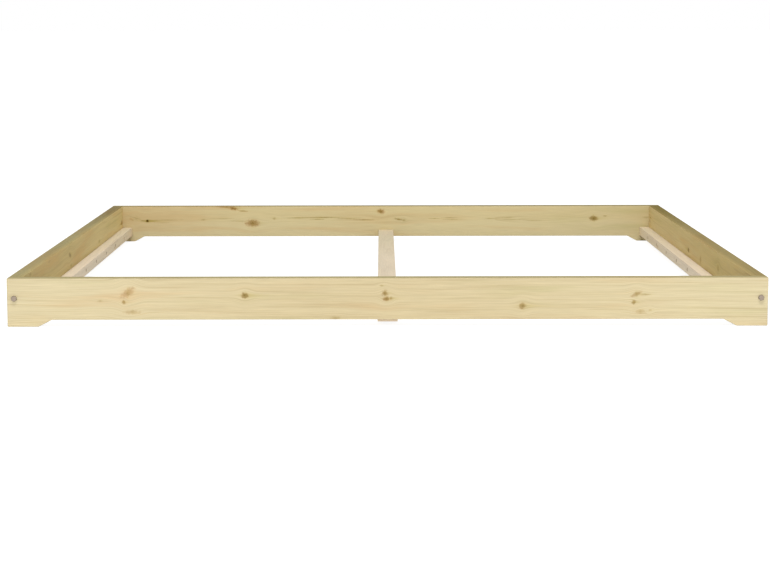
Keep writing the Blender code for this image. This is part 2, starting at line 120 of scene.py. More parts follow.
FRONT_KNOTS = (
    Knot(-0.638, 0.084, 0.023, 0.025, 0.80, 0.010, 0.36, 0.4),
    Knot(-0.648, 0.061, 0.009, 0.009, 0.00, 0.008, 0.60, 0.2),
    Knot(-0.628, 0.036, 0.038, 0.010, -0.05, 0.010, 0.24, 0.2),
    Knot(-0.706, 0.064, 0.012, 0.005, 0.00, 0.010, 0.24, 0.0),
    Knot(-0.351, 0.077, 0.016, 0.014, 0.00, 0.026, 0.84, 0.3),
    Knot(-0.007, 0.082, 0.013, 0.013, 0.00, 0.008, 0.64, 0.3),
    Knot(-0.003, 0.068, 0.016, 0.011, 0.10, 0.016, 0.70, 0.5),
    Knot(0.008, 0.070, 0.006, 0.006, 0.00, 0.010, 0.44, 0.2),
    Knot(-0.015, 0.101, 0.009, 0.004, 0.00, 0.010, 0.35, 0.0),
    Knot(-0.130, 0.021, 0.024, 0.008, 0.00, 0.012, 0.26, 0.0),
    Knot(0.331, 0.050, 0.016, 0.014, 0.00, 0.028, 0.62, 0.3),
    Knot(0.611, 0.079, 0.016, 0.014, 1.20, 0.012, 0.48, 0.3),
    Knot(0.634, 0.078, 0.024, 0.004, 0.10, 0.012, 0.28, 0.0),
    Knot(0.605, 0.059, 0.010, 0.010, 0.00, 0.008, 0.70, 0.2),
    Knot(0.621, 0.036, 0.026, 0.009, 0.00, 0.012, 0.24, 0.2),
    Knot(0.645, 0.039, 0.008, 0.006, 0.50, 0.008, 0.18, 0.1),
)
BACK_KNOTS = (
    Knot(-0.816, 0.070, 0.009, 0.008, 0.00, 0.030, 2.80, 0.0),
    Knot(-0.832, 0.071, 0.012, 0.004, 0.00, -0.012, 0.36, 0.0),
    Knot(-0.869, 0.075, 0.012, 0.009, -0.80, 0.020, 0.18, 0.3),
    Knot(-0.855, 0.080, 0.012, 0.016, -3.00, 0.010, 0.20, 0.0),
    Knot(-0.745, 0.0735, 0.100, 0.003, 0.00, 0.040, 0.22, 0.0),
    Knot(-0.765, 0.0645, 0.060, 0.003, 0.00, 0.030, 0.20, 0.0),
    Knot(-0.522, 0.113, 0.024, 0.011, -1.00, 0.030, 0.78, 0.8),
    Knot(-0.548, 0.117, 0.050, 0.006, -4.00, 0.020, 0.45, 0.4),
    Knot(-0.490, 0.104, 0.030, 0.006, -3.00, 0.020, 0.42, 0.2),
    Knot(-0.457, 0.062, 0.042, 0.022, 0.00, 0.020, 0.72, 0.7),
    Knot(-0.625, 0.074, 0.016, 0.006, 0.00, 0.040, 0.26, 0.0),
    Knot(-0.560, 0.0785, 0.080, 0.0035, 5.00, 0.030, 0.22, 0.0),
    Knot(-0.500, 0.0690, 0.060, 0.0060, -4.00, 0.030, 0.18, 0.0),
    Knot(-0.382, 0.078, 0.010, 0.007, 0.00, 0.015, 0.30, 0.1),
    Knot(-0.300, 0.0800, 0.080, 0.0035, 6.00, 0.050, 0.45, 0.0),
    Knot(-0.225, 0.0815, 0.120, 0.0035, 0.00, 0.060, 0.60, 0.0),
    Knot(-0.235, 0.0755, 0.050, 0.0035, 0.00, 0.030, 0.50, 0.0),
    Knot(-0.130, 0.0770, 0.060, 0.0035, -6.00, 0.030, 0.35, 0.0),
    Knot(-0.075, 0.073, 0.070, 0.005, 0.00, 0.030, 0.40, 0.2),
    Knot(-0.017, 0.102, 0.022, 0.015, -0.30, -0.010, 0.82, 0.7),
    Knot(0.042, 0.075, 0.022, 0.008, -2.50, 0.010, 0.58, 0.0),
    Knot(0.061, 0.071, 0.011, 0.008, 0.00, 0.010, 0.34, 0.0),
    Knot(0.165, 0.0770, 0.040, 0.0035, 0.00, 0.030, 0.30, 0.0),
    Knot(0.215, 0.0800, 0.050, 0.0035, 6.00, 0.030, 0.26, 0.0),
    Knot(0.225, 0.0735, 0.060, 0.0040, -6.00, 0.030, 0.26, 0.0),
    Knot(0.355, 0.0770, 0.030, 0.0035, 0.00, 0.020, 0.30, 0.0),
    Knot(0.415, 0.0800, 0.040, 0.0035, 5.00, 0.020, 0.24, 0.0),
    Knot(0.430, 0.0730, 0.060, 0.0035, -5.00, 0.030, 0.24, 0.0),
    Knot(0.500, 0.0690, 0.060, 0.003, 0.00, 0.030, 0.18, 0.0),
    Knot(0.710, 0.077, 0.026, 0.017, 0.00, 0.018, 0.95, 0.3),
    Knot(0.749, 0.085, 0.012, 0.006, 0.00, 0.010, 0.32, 0.0),
    Knot(0.890, 0.080, 0.030, 0.005, 0.00, 0.020, 0.19, 0.0),
)
LEFT_KNOTS = (
    Knot(-0.220, 0.088, 0.036, 0.017, -1.50, 0.030, 0.68, 0.2),
    Knot(-0.204, 0.056, 0.022, 0.010, 0.00, 0.020, 0.28, 0.0),
    Knot(0.396, 0.062, 0.034, 0.012, 0.00, 0.040, 0.28, 0.0),
    Knot(-0.895, 0.113, 0.030, 0.010, 0.00, 0.020, 0.24, 0.1),
    Knot(-0.590, 0.111, 0.040, 0.008, 0.00, 0.030, 0.12, 0.1),
    Knot(0.972, 0.066, 0.050, 0.011, 0.00, -0.040, 0.60, 0.5),
)
RIGHT_KNOTS = (
    Knot(0.069, 0.068, 0.028, 0.011, 0.00, 0.050, 1.10, 0.4),
    Knot(-0.168, 0.066, 0.026, 0.020, 0.00, 0.020, 0.32, 0.3),
    Knot(-0.482, 0.077, 0.032, 0.020, 0.00, 0.020, 0.28, 0.2),
    Knot(0.960, 0.083, 0.040, 0.006, 0.00, -0.030, 0.38, 0.3),
    Knot(0.965, 0.056, 0.050, 0.009, 0.00, -0.030, 0.07, 0.1),
)
LEDGE_KNOTS = (
    Knot(-0.610, 0.036, 0.016, 0.010, 0.00, 0.016, 0.50, 0.3),
    Knot(0.520, 0.030, 0.022, 0.008, 0.00, 0.020, 0.40, 0.2),
)
BEAM_KNOTS = (
    Knot(-0.430, 0.024, 0.020, 0.014, 0.00, 0.016, 0.35, 0.2),
    Knot(0.270, 0.018, 0.014, 0.010, 0.00, 0.014, 0.40, 0.2),
)

# Painted light and shade on a piece's wood, as tones that its colour is multiplied by: on its faces and, as
# painted shade, on the faces that look up, at the start and at the end of a run along it, painted light and
# shade that stands in for how the lamps' light changes over the piece; which way its first broad face looks,
# along its thickness, with 0 for both ways alike; where the run starts for the faces and for the top; and the
# lighter tone of the other broad face, the painted light put on the faces low down, and the painted light put
# on the half of a side board's top that is next to the bed. Where the faces' run starts over zero, it goes
# both ways from the piece's middle, and otherwise from the front to the back.
PLAIN = (1, 1, 1)
Tones = namedtuple(
    "Tones",
    "faces far_faces top far_top front start top_start other low inner",
    defaults=(PLAIN, PLAIN, PLAIN),
)
# Painted light on a board's other broad face: a lighter tone that lifts it out of the shade it stands in
OTHER_FACE_PAINTED_LIGHT = (0.84, 0.82, 0.79)
# Painted light low on a side board's inner face, beside the ledge
SIDE_LOW_PAINTED_LIGHT = (1.09, 1.12, 1.22)
RUN_END = 0.9
# Each piece's painted light and shade: its faces, its darker tops, and light low down on some boards
FRONT_PAINTED_LIGHT = Tones(
    faces=(0.628, 0.610, 0.595), far_faces=(0.681, 0.682, 0.692),
    top=(0.552, 0.552, 0.465), far_top=(0.552, 0.552, 0.465),
    front=-1, start=0.1, top_start=0.1, other=OTHER_FACE_PAINTED_LIGHT,
)
BACK_PAINTED_LIGHT = Tones(
    faces=(0.715, 0.692, 0.602), far_faces=(0.690, 0.662, 0.578),
    top=(0.437, 0.417, 0.295), far_top=(0.437, 0.417, 0.295),
    front=-1, start=0.3, top_start=0.3, other=OTHER_FACE_PAINTED_LIGHT, low=(1.05, 1.07, 1.12),
)
LEFT_PAINTED_LIGHT = Tones(
    faces=(0.725, 0.655, 0.415), far_faces=(0.885, 0.82, 0.59),
    top=(0.502, 0.498, 0.405), far_top=(0.374, 0.342, 0.246),
    front=1, start=-0.7, top_start=0.2, other=OTHER_FACE_PAINTED_LIGHT, low=SIDE_LOW_PAINTED_LIGHT, inner=(1.17, 1.12, 1.02),
)
RIGHT_PAINTED_LIGHT = Tones(
    faces=(0.715, 0.635, 0.385), far_faces=(0.885, 0.81, 0.60),
    top=(0.445, 0.410, 0.28), far_top=(0.316, 0.284, 0.135),
    front=-1, start=-0.7, top_start=0.2, other=OTHER_FACE_PAINTED_LIGHT, low=SIDE_LOW_PAINTED_LIGHT, inner=(1.22, 1.18, 1.18),
)
LEDGE_PAINTED_LIGHT = Tones(
    faces=(1.00, 0.99, 0.98), far_faces=(0.92, 0.89, 0.80),
    top=(0.97, 0.96, 0.96), far_top=(0.88, 0.88, 0.82),
    front=0, start=-0.1, top_start=-0.1,
)
BEAM_PAINTED_LIGHT = Tones(
    faces=(1.00, 0.99, 0.97), far_faces=(0.93, 0.925, 0.88),
    top=(0.95, 0.93, 0.90), far_top=(0.88, 0.88, 0.79),
    front=0, start=-0.1, top_start=-0.1,
)

# Where a tone starts and is full: down a board's face by height for the painted light low down, and over the
# X, Y or Z of a face's normal for the other broad face, for the painted shade on faces that look up, for end
# grain and for edges
LOW_SPAN = (0.085, 0.060)
OTHER_SPAN = (0.3, 0.7)
UPWARD_SPAN = (0.45, 0.85)
END_GRAIN_SPAN = (0.80, 0.97)
EDGE_SPAN = (0.98, 0.80)

# How far from a side board's inner face the painted light on its top's inner half is full
INNER_MARGIN = 0.002

# How a piece was sawn from its log: which of X, Y and Z run along its grain and through it, where its pattern
# starts, how high and how deep the log's heart lies, how far the heart wanders, how wide the clear rings over
# it are, and the piece's knots and the tones of its painted light and shade
Sawn = namedtuple("Sawn", "lie seed heart_height heart_depth sway flame knots tones")
BOARD_HEART = INNER_X + 0.070
LEDGE_HEART = INNER_X + 0.030
SAWN = {
    "pine_front": Sawn("XY", 0.0, -0.050, 0.060 - OUTER_Y, 0.020, 1.0, FRONT_KNOTS, FRONT_PAINTED_LIGHT),
    "pine_back": Sawn("XY", 5.3, 0.077, INNER_Y - 0.012, 0.032, 0.012, BACK_KNOTS, BACK_PAINTED_LIGHT),
    "pine_left": Sawn("YX", 11.7, -0.040, -BOARD_HEART, 0.020, 1.0, LEFT_KNOTS, LEFT_PAINTED_LIGHT),
    "pine_right": Sawn("YX", 17.9, -0.040, BOARD_HEART, 0.020, 1.0, RIGHT_KNOTS, RIGHT_PAINTED_LIGHT),
    "spruce_ledge_left": Sawn("YX", -23.1, -0.030, -LEDGE_HEART, 0.030, 1.0, LEDGE_KNOTS, LEDGE_PAINTED_LIGHT),
    "spruce_ledge_right": Sawn("YX", 23.1, -0.030, LEDGE_HEART, 0.030, 1.0, LEDGE_KNOTS, LEDGE_PAINTED_LIGHT),
    "spruce_beam": Sawn("YX", 31.4, -0.030, 0.012, 0.030, 1.0, BEAM_KNOTS, BEAM_PAINTED_LIGHT),
    "spruce_foot": Sawn("YX", 37.7, 0.040, -0.020, 0.030, 1.0, (), BEAM_PAINTED_LIGHT),
}

# A knot, with distances from its middle as shares of its own size: how ragged it is, how often and how
# strongly its rings show, where its body and its stain start and are full, how much faster its smear fades
# upstream, how fast the smear narrows, and how far along, how far across and how much it pushes the grain
RAGGEDNESS = 1.7
KNOT_RING_RATE = 8.0
KNOT_RING_SHARE = 0.14
KNOT_SPAN = (1.45, 0.15)
STAIN_SPAN = (1.7, 0.6)
UPSTREAM_FADE = 3.0
SMEAR_TAPER = 0.6
PUSH_LENGTH = 2.6
PUSH_HEIGHT = 3.2
PUSH_SHARE = 0.75

# Where parts of the figure start and are full: late wood as its ring goes by, at first slowly and then cut
# off, and over their noise the strongly marked rings, the two tinted bands and the dark lines
LATE_RISE = (0.28, 0.90)
LATE_FALL = (1.0, 0.90)
STRONG_SPAN = (-0.12, 0.22)
WARM_SPAN = (0.02, 0.24)
GREEN_SPAN = (-0.03, -0.24)
LINE_SPAN = (0.03, 0.28)

# Strength of the parts of the figure, as shares: the flame of clear rings, the tinted bands, the dark lines,
# and how much fibres and lines change the tone
FLAME_SHARE = 0.75
WARM_SHARE = 0.85
GREEN_SHARE = 0.48
LINE_SHARE = 0.45
FIBRE_TONE = 0.28
LINE_TONE = -0.16

# How far a ring's line is ruffled, in metres, how uneven the rings' widths are, in rings, and the most that a
# knot's smear may take up
RUFFLE = 0.0024
UNEVENNESS = 1.6
SMEAR_LIMIT = 1.2

# How much fibres roughen the wood, how much late wood and knots smooth it, and how high late wood and knots
# stand beside the fibres
FIBRE_ROUGHNESS = 0.25
HARD_ROUGHNESS = -0.06
LATE_HEIGHT = 0.5
KNOT_HEIGHT = 0.3

# How strongly each wood shows its rings, how rough it is, and how much it mirrors
PINE_CONTRAST = 0.62
PINE_ROUGHNESS = 0.62
PINE_GLOSS = 0.10
SPRUCE_CONTRAST = 0.35
SPRUCE_ROUGHNESS = 0.80
SPRUCE_GLOSS = 0.05
UPWARD_ROUGHNESS = 0.35

# The kinds of settings: lengths, angles, colours, and shares of red, green and blue
Length = partial(FloatProperty, unit="LENGTH")
Angle = partial(FloatProperty, subtype="ANGLE")
Colour = partial(FloatVectorProperty, subtype="COLOR", size=3, min=0, max=1)
Pigment = partial(FloatVectorProperty, size=3)


class FutonBedBoards(bpy.types.PropertyGroup):
    """Sizes and colours of the lacquered pine boards."""

    edge_round: Length(name="Edge round", description="Radius of a board's rounded edges", default=0.0015)
    edge_segments: IntProperty(
        name="Edge segments", description="Facets across a rounded edge", default=5, min=1, max=12
    )
    foot_flat: Length(name="Foot length", description="Flat part of an end board's foot", default=0.076)
    foot_slope_run: Length(name="Foot slope", description="Run of the slope beside the foot", default=0.033)
    ring_width: Length(name="Ring width", description="Mean width of a growth ring", default=0.0034)
    early_colour: Colour(
        name="Early wood", description="Pale wood of a growth ring", default=(0.820, 0.705, 0.435)
    )
    late_colour: Colour(
        name="Late wood", description="Dark line of a growth ring", default=(0.590, 0.455, 0.225)
    )
    warm_colour: Colour(
        name="Warm tint", description="Orange bands in the wood", default=(0.780, 0.590, 0.330)
    )
    green_colour: Colour(
        name="Olive tint", description="Olive bands in the wood", default=(0.660, 0.600, 0.310)
    )
    knot_pigment: Pigment(
        name="Knot pigment", description="How much of red, green and blue a knot takes up",
        default=(0.90, 1.06, 1.50),
    )
    smear_pigment: Pigment(
        name="Smear pigment", description="How much of red, green and blue a knot's smear takes up",
        default=(0.28, 0.30, 0.75),
    )
    stain_pigment: Pigment(
        name="Stain pigment", description="How much of red, green and blue a knot's stain takes up",
        default=(0.03, 0.24, 0.32),
    )
    arris_tone: Colour(
        name="Arris tone", description="Shade of the boards' rounded edges", default=(0.780, 0.770, 0.720)
    )


class FutonBedRawWood(bpy.types.PropertyGroup):
    """Sizes and colours of the sawn ledges, the centre beam and its foot."""

    arris: Length(name="Arris", description="Radius of the sawn pieces' broken edges", default=0.0012)
    ring_width: Length(name="Ring width", description="Mean width of a growth ring", default=0.0026)
    early_colour: Colour(
        name="Early wood", description="Pale wood of a growth ring", default=(0.900, 0.780, 0.600)
    )
    late_colour: Colour(
        name="Late wood", description="Dark line of a growth ring", default=(0.740, 0.600, 0.430)
    )
    warm_colour: Colour(
        name="Pink tint", description="Pinkish bands in the wood", default=(0.890, 0.720, 0.580)
    )
    green_colour: Colour(
        name="Grey tint", description="Greyish bands in the wood", default=(0.780, 0.710, 0.560)
    )
    knot_pigment: Pigment(
        name="Knot pigment", description="How much of red, green and blue a knot takes up",
        default=(0.70, 0.95, 1.30),
    )
    smear_pigment: Pigment(
        name="Smear pigment", description="How much of red, green and blue a knot's smear takes up",
        default=(0.20, 0.26, 0.45),
    )
    stain_pigment: Pigment(
        name="Stain pigment", description="How much of red, green and blue a knot's stain takes up",
        default=(0.03, 0.15, 0.30),
    )
    arris_tone: Colour(
        name="Arris tone", description="Shade of the broken edges", default=(0.820, 0.800, 0.770)
    )
    # Bare wood inside bores and holes, darkened with painted shade for the shade inside them
    bore_shade_colour: Colour(
        name="Bore", description="Bare wood inside bores and holes", default=(0.430, 0.310, 0.190)
    )
    dowel_colour: Colour(name="Beech", description="Tan of the beech dowels", default=(0.600, 0.420, 0.240))


class FutonBedHardware(bpy.types.PropertyGroup):
    """Sizes and colour of the bolts, barrel nuts and screws."""

    bolt_diameter: Length(name="Bolt diameter", description="Outer diameter of the thread", default=0.008)
    bolt_flats: Length(name="Width across flats", description="Size of the hexagon head", default=0.013)
    bolt_head_height: Length(name="Head height", description="Height of the hexagon head", default=0.0053)
    bolt_collar: Length(
        name="Washer face", description="Height of the round face under the head", default=0.0003
    )
    bolt_point: Length(name="Bolt point", description="Chamfer of the bolt's end", default=0.001)
    bolt_pitch: Length(
        name="Bolt pitch", description="Rise of one turn of the bolt's thread", default=0.00125
    )
    bolt_thread: Length(name="Thread length", description="Threaded part of the bolt", default=0.034)
    bolt_clearance: Length(name="Bolt clearance", description="Gap round a bolt in its bore", default=0.0005)
    fit_gap: Length(name="Fit gap", description="Gap round nuts, dowels and screws", default=0.0003)
    nut_chamfer: Length(name="Nut chamfer", description="Chamfer of a barrel nut's rims", default=0.0007)
    nut_slot: Length(name="Nut slot", description="Width of a barrel nut's slot", default=0.0018)
    bore_diameter: Length(
        name="Ledge bore", description="Diameter of the bores over the ledges' screws", default=0.011
    )
    screw_sink: Length(
        name="Head sink", description="How deep a screw's head lies in its wood", default=0.0008
    )
    screw_rim: Length(name="Head rim", description="Height of the rim of a screw's head", default=0.0004)
    screw_diameter: Length(
        name="Screw diameter", description="Outer diameter of a screw's thread", default=0.004
    )
    screw_pitch: Length(
        name="Screw pitch", description="Rise of one turn of a screw's thread", default=0.0018
    )
    screw_tip: Length(name="Screw tip", description="Length of a screw's point", default=0.005)
    recess_width: Length(name="Star recess", description="Width of a screw's star recess", default=0.0038)
    recess_depth: Length(name="Recess depth", description="Depth of a screw's star recess", default=0.0015)
    recess_waist: FloatProperty(
        name="Recess waist", description="Inner points of the star, as a share of its outer points",
        default=0.62,
    )
    zinc_colour: Colour(name="Zinc", description="Colour of the plated steel", default=(0.165, 0.133, 0.104))


class FutonBedStage(bpy.types.PropertyGroup):
    """Camera, lamps, floor and background."""

    camera_place: FloatVectorProperty(
        name="Camera", description="Place of the camera", subtype="TRANSLATION", unit="LENGTH", size=3,
        default=(-0.01426, -6.13377, 0.73914),
    )
    camera_pitch: Angle(
        name="Pitch", description="How far the camera looks down", default=math.radians(7.2281)
    )
    camera_roll: Angle(name="Roll", description="How far the camera leans", default=math.radians(-0.0806))
    camera_yaw: Angle(name="Yaw", description="How far the camera turns", default=math.radians(-0.0876))
    camera_focal: FloatProperty(
        name="Focal length", description="Focal length in pixels of the photograph", default=2093.54
    )
    key_elevation: Angle(
        name="Main lamp elevation", description="Height of the main lamp over the horizon",
        default=math.radians(60),
    )
    key_distance: Length(name="Main lamp distance", description="From the bed to the main lamp", default=8.5)
    key_power: FloatProperty(
        name="Main lamp power", description="Power of the main lamp", default=425.0, unit="POWER"
    )
    fill_elevation: Angle(
        name="Fill lamp elevation", description="Height of the fill lamp over the horizon",
        default=math.radians(2.4),
    )
    fill_distance: Length(name="Fill lamp distance", description="From the bed to the fill lamp", default=8.0)
    fill_power: FloatProperty(
        name="Fill lamp power", description="Power of the fill lamp", default=300.0, unit="POWER"
    )
    lamp_width: Length(name="Lamp width", description="Width of each soft lamp", default=5.0)
    lamp_height: Length(name="Lamp height", description="Height of each soft lamp", default=0.7)
    sky_strength: FloatProperty(
        name="Sky light", description="Light of the background on the bed", default=0.36, min=0, max=1
    )
    floor_width: Length(name="Floor", description="Width of the floor", default=400.0)
    floor_gap: Length(name="Floor gap", description="How far the floor is under the feet", default=0.0002)
    floor_tone: FloatProperty(
        name="Floor tone", description="Grey of the floor in the light that it throws on the bed",
        default=0.90,
    )
    floor_glow: FloatProperty(
        name="Floor white", description="Share of the floor's white that no shadow takes", default=0.90
    )
    floor_shade: FloatProperty(
        name="Floor shade", description="How much of the light on the floor adds to its white", default=0.34
    )


class Amount:
    """A number in a node tree, which adds, multiplies and so on through Math nodes."""

    def __init__(self, tree, source):
        self.tree = tree
        self.source = source

    def through(self, operation, *values):
        return Amount(self.tree, add_node(self.tree, "Math", values, operation=operation).outputs[0])

    def __add__(self, other):
        return self.through("ADD", self, other)

    def __sub__(self, other):
        return self.through("SUBTRACT", self, other)

    def __rsub__(self, other):
        return self.through("SUBTRACT", other, self)

    def __mul__(self, other):
        return self.through("MULTIPLY", self, other)

    def __truediv__(self, other):
        return self.through("DIVIDE", self, other)

    def larger(self, other):
        return self.through("MAXIMUM", self, other)

    def smaller(self, other):
        return self.through("MINIMUM", self, other)

    def size(self):
        return self.through("ABSOLUTE", self)

    def root(self):
        return self.through("SQRT", self)

    def fraction(self):
        return self.through("FRACT", self)

    def cosine(self):
        return self.through("COSINE", self)

    def exponential(self):
        return self.through("EXPONENT", self)

    def ramp(self, start, end):
        """Rise smoothly from 0 at start to 1 at end, or fall where end is the lower one."""
        values = {"Value": self, "From Min": min(start, end), "From Max": max(start, end)}
        if start > end:
            values.update({"To Min": 1.0, "To Max": 0.0})
        node = add_node(self.tree, "MapRange", values, interpolation_type="SMOOTHSTEP")
        return Amount(self.tree, node.outputs["Result"])


def feed(tree, node, inputs):
    """Feed a node's inputs, by order or by name, with sockets, amounts or values. Colours get an alpha."""
    for key, value in inputs.items() if isinstance(inputs, dict) else enumerate(inputs):
        socket = node.inputs[key]
        if isinstance(value, Amount):
            value = value.source
        if isinstance(value, bpy.types.NodeSocket):
            tree.links.new(value, socket)
        elif socket.type == "RGBA":
            socket.default_value = (*value, 1.0)
        else:
            socket.default_value = value


def add_node(tree, kind, inputs=(), **options):
    """Add a shader node, set its options, and feed its inputs."""
    node = tree.nodes.new("ShaderNode" + kind)
    for option, value in options.items():
        setattr(node, option, value)
    feed(tree, node, inputs)
    return node


def hill(*ratios):
    """A bell that is 1 where all its ratios are 0, and near 0 where one passes 2."""
    total = ratios[0] * ratios[0]
    for ratio in ratios[1:]:
        total = total + ratio * ratio
    return (total * -1.0).exponential()


def join_point(tree, x, y, z):
    """A vector of three numbers."""
    return add_node(tree, "CombineXYZ", (x, y, z)).outputs[0]


def split_point(tree, point):
    """The three numbers of a vector."""
    return [Amount(tree, socket) for socket in add_node(tree, "SeparateXYZ", (point,)).outputs]


def noise(tree, point, scale=1.0, detail=2.0):
    """Soft noise about zero, seldom past a quarter either way."""
    node = add_node(tree, "TexNoise", {"Vector": point, "Scale": scale, "Detail": detail})
    return Amount(tree, node.outputs["Fac"]) - 0.5


def mix_colours(tree, share, first, second, blend="MIX"):
    """Mix two colours, each a socket or a plain colour."""
    node = add_node(tree, "Mix", {0: share, 6: first, 7: second}, data_type="RGBA", blend_type=blend)
    return node.outputs[2]


def tinted(tree, colour, tone):
    """A colour made lighter or darker by an amount."""
    return mix_colours(tree, 1.0, colour, join_point(tree, tone, tone, tone), "MULTIPLY")


def new_group(name, inputs, outputs):
    """A node group of number inputs, which come as amounts by name, and its output node."""
    tree = bpy.data.node_groups.new(name, "ShaderNodeTree")
    for label in inputs:
        tree.interface.new_socket(label, in_out="INPUT", socket_type="NodeSocketFloat")
    for label, kind in outputs.items():
        tree.interface.new_socket(label, in_out="OUTPUT", socket_type="NodeSocket" + kind)
    entry = tree.nodes.new("NodeGroupInput")
    given = {label: Amount(tree, entry.outputs[label]) for label in inputs}
    return tree, given, tree.nodes.new("NodeGroupOutput")


def empty_tree(owner):
    """The node tree of a material or a world, with nothing in it."""
    owner.use_nodes = True
    owner.node_tree.nodes.clear()
    return owner.node_tree


def new_material(name):
    """An empty node material, its tree and its texture coordinates."""
    material = bpy.data.materials.new(name)
    tree = empty_tree(material)
    return material, tree, add_node(tree, "TexCoord")


def bumped(tree, height, strength, distance):
    """The normal of a surface that an amount raises."""
    bump = add_node(tree, "Bump", {"Strength": strength, "Distance": distance, "Height": height})
    return bump.outputs["Normal"]


def add_finish(tree, inputs):
    """The shader and the output of a solid material."""
    shader = add_node(tree, "BsdfPrincipled", inputs)
    add_node(tree, "OutputMaterial", {"Surface": shader.outputs[0]})


STATE = ("Body", "Stain", "Streak", "Push")
KNOT_INPUTS = (
    "Along", "Across", "Ripple", "Knot along", "Knot across", "Half length", "Half height", "Lean", "Tail",
    "Dark", "Halo", *STATE,
)


def knot_group():
    """One knot: a ragged dark oval with rings, its stain, its smear along the grain, and grain pushed aside.

    Body, Stain, Streak and Push come in from the knot before and go on to the next one.
    """
    tree, given, result = new_group("pine_knot", KNOT_INPUTS, dict.fromkeys(STATE, "Float"))
    half_length, half_height = given["Half length"], given["Half height"]
    along = given["Along"] - given["Knot along"]
    across = given["Across"] - given["Knot across"]
    leaned = along - across * given["Lean"]
    length_ratio = leaned / half_length
    height_ratio = across / half_height
    reach = (length_ratio * length_ratio + height_ratio * height_ratio).root() + given["Ripple"]
    rings = (reach * KNOT_RING_RATE).cosine() * KNOT_RING_SHARE + (1 - KNOT_RING_SHARE)
    body = reach.ramp(*KNOT_SPAN) * rings * given["Dark"]
    stain = reach.ramp(*STAIN_SPAN) * given["Halo"]
    downstream = along / given["Tail"]
    away = downstream.larger(downstream * -UPSTREAM_FADE)
    slender = half_height / (away * SMEAR_TAPER + 1.0)
    streak = hill(across / slender) * (away * -1.0).exponential() * given["Dark"]
    near = hill(along / (half_length * PUSH_LENGTH), across / (half_height * PUSH_HEIGHT))
    push = near * across * -PUSH_SHARE
    feed(tree, result, {
        "Body": given["Body"].larger(body), "Stain": given["Stain"].larger(stain),
        "Streak": given["Streak"] + streak, "Push": given["Push"] + push,
    })
    return tree


FIGURE_INPUTS = ("Along", "Depth", "Across", "Seed", "Heart height", "Heart depth", "Sway", "Flame", *STATE)
FIGURE_OUTPUTS = {"Color": "Color", "Roughness": "Float", "Height": "Float"}


def figure_group(name, wood, contrast, roughness):
    """Growth rings round a heart line that wanders behind the face, with fibres, tinted bands and knots."""
    tree, given, result = new_group(name, FIGURE_INPUTS, FIGURE_OUTPUTS)
    seed = given["Seed"]
    along = given["Along"] + seed
    depth = given["Depth"]
    across = given["Across"] + given["Push"]
    sway = noise(tree, join_point(tree, along, seed, 0.0), scale=1.6, detail=1.0) * given["Sway"]
    swell = noise(tree, join_point(tree, along, 7.0, seed), scale=2.4, detail=1.5) * given["Sway"]
    up = across - given["Heart height"] + sway
    back = depth - given["Heart depth"] + swell
    ruffle = noise(tree, join_point(tree, along * 4.0, depth * 30.0, across * 30.0)) * RUFFLE
    distance = (up * up + back * back).root() + ruffle
    uneven = noise(tree, join_point(tree, distance, seed, 0.0), scale=95.0, detail=1.0) * UNEVENNESS

    def ring_noise(along_rate, ring_rate, detail=2.0):
        """Noise drawn out along the rings, which changes so many times a metre along and across them."""
        return noise(tree, join_point(tree, along * along_rate, seed, distance * ring_rate), detail=detail)

    ring = (distance / wood.ring_width + uneven).fraction()
    strong = ring_noise(along_rate=2.8, ring_rate=110.0)
    clear = hill(up / given["Flame"]) * FLAME_SHARE + (1 - FLAME_SHARE)
    late = ring.ramp(*LATE_RISE) * ring.ramp(*LATE_FALL) * strong.ramp(*STRONG_SPAN) * clear
    fibre = noise(tree, join_point(tree, along * 18.0, depth * 650.0, across * 650.0))
    band = ring_noise(along_rate=2.1, ring_rate=30.0, detail=3.0)
    line = ring_noise(along_rate=2.6, ring_rate=190.0) * clear
    colour = mix_colours(tree, late * contrast, wood.early_colour, wood.late_colour)
    colour = mix_colours(tree, band.ramp(*WARM_SPAN) * WARM_SHARE, colour, wood.warm_colour)
    colour = mix_colours(tree, band.ramp(*GREEN_SPAN) * GREEN_SHARE, colour, wood.green_colour)
    colour = mix_colours(tree, line.ramp(*LINE_SPAN) * LINE_SHARE, colour, wood.late_colour)
    colour = tinted(tree, colour, fibre * FIBRE_TONE + line * LINE_TONE + 1.0)
    passed = []
    for knot, smear, stain in zip(wood.knot_pigment, wood.smear_pigment, wood.stain_pigment):
        taken = given["Body"] * knot + given["Streak"].smaller(SMEAR_LIMIT) * smear + given["Stain"] * stain
        passed.append((taken * -1.0).exponential())
    feed(tree, result, {
        "Color": mix_colours(tree, 1.0, colour, join_point(tree, *passed), "MULTIPLY"),
        "Roughness": (
            fibre * FIBRE_ROUGHNESS + late * HARD_ROUGHNESS + given["Body"] * HARD_ROUGHNESS + roughness
        ),
        "Height": late * LATE_HEIGHT + fibre + given["Body"] * KNOT_HEIGHT,
    })
    return tree


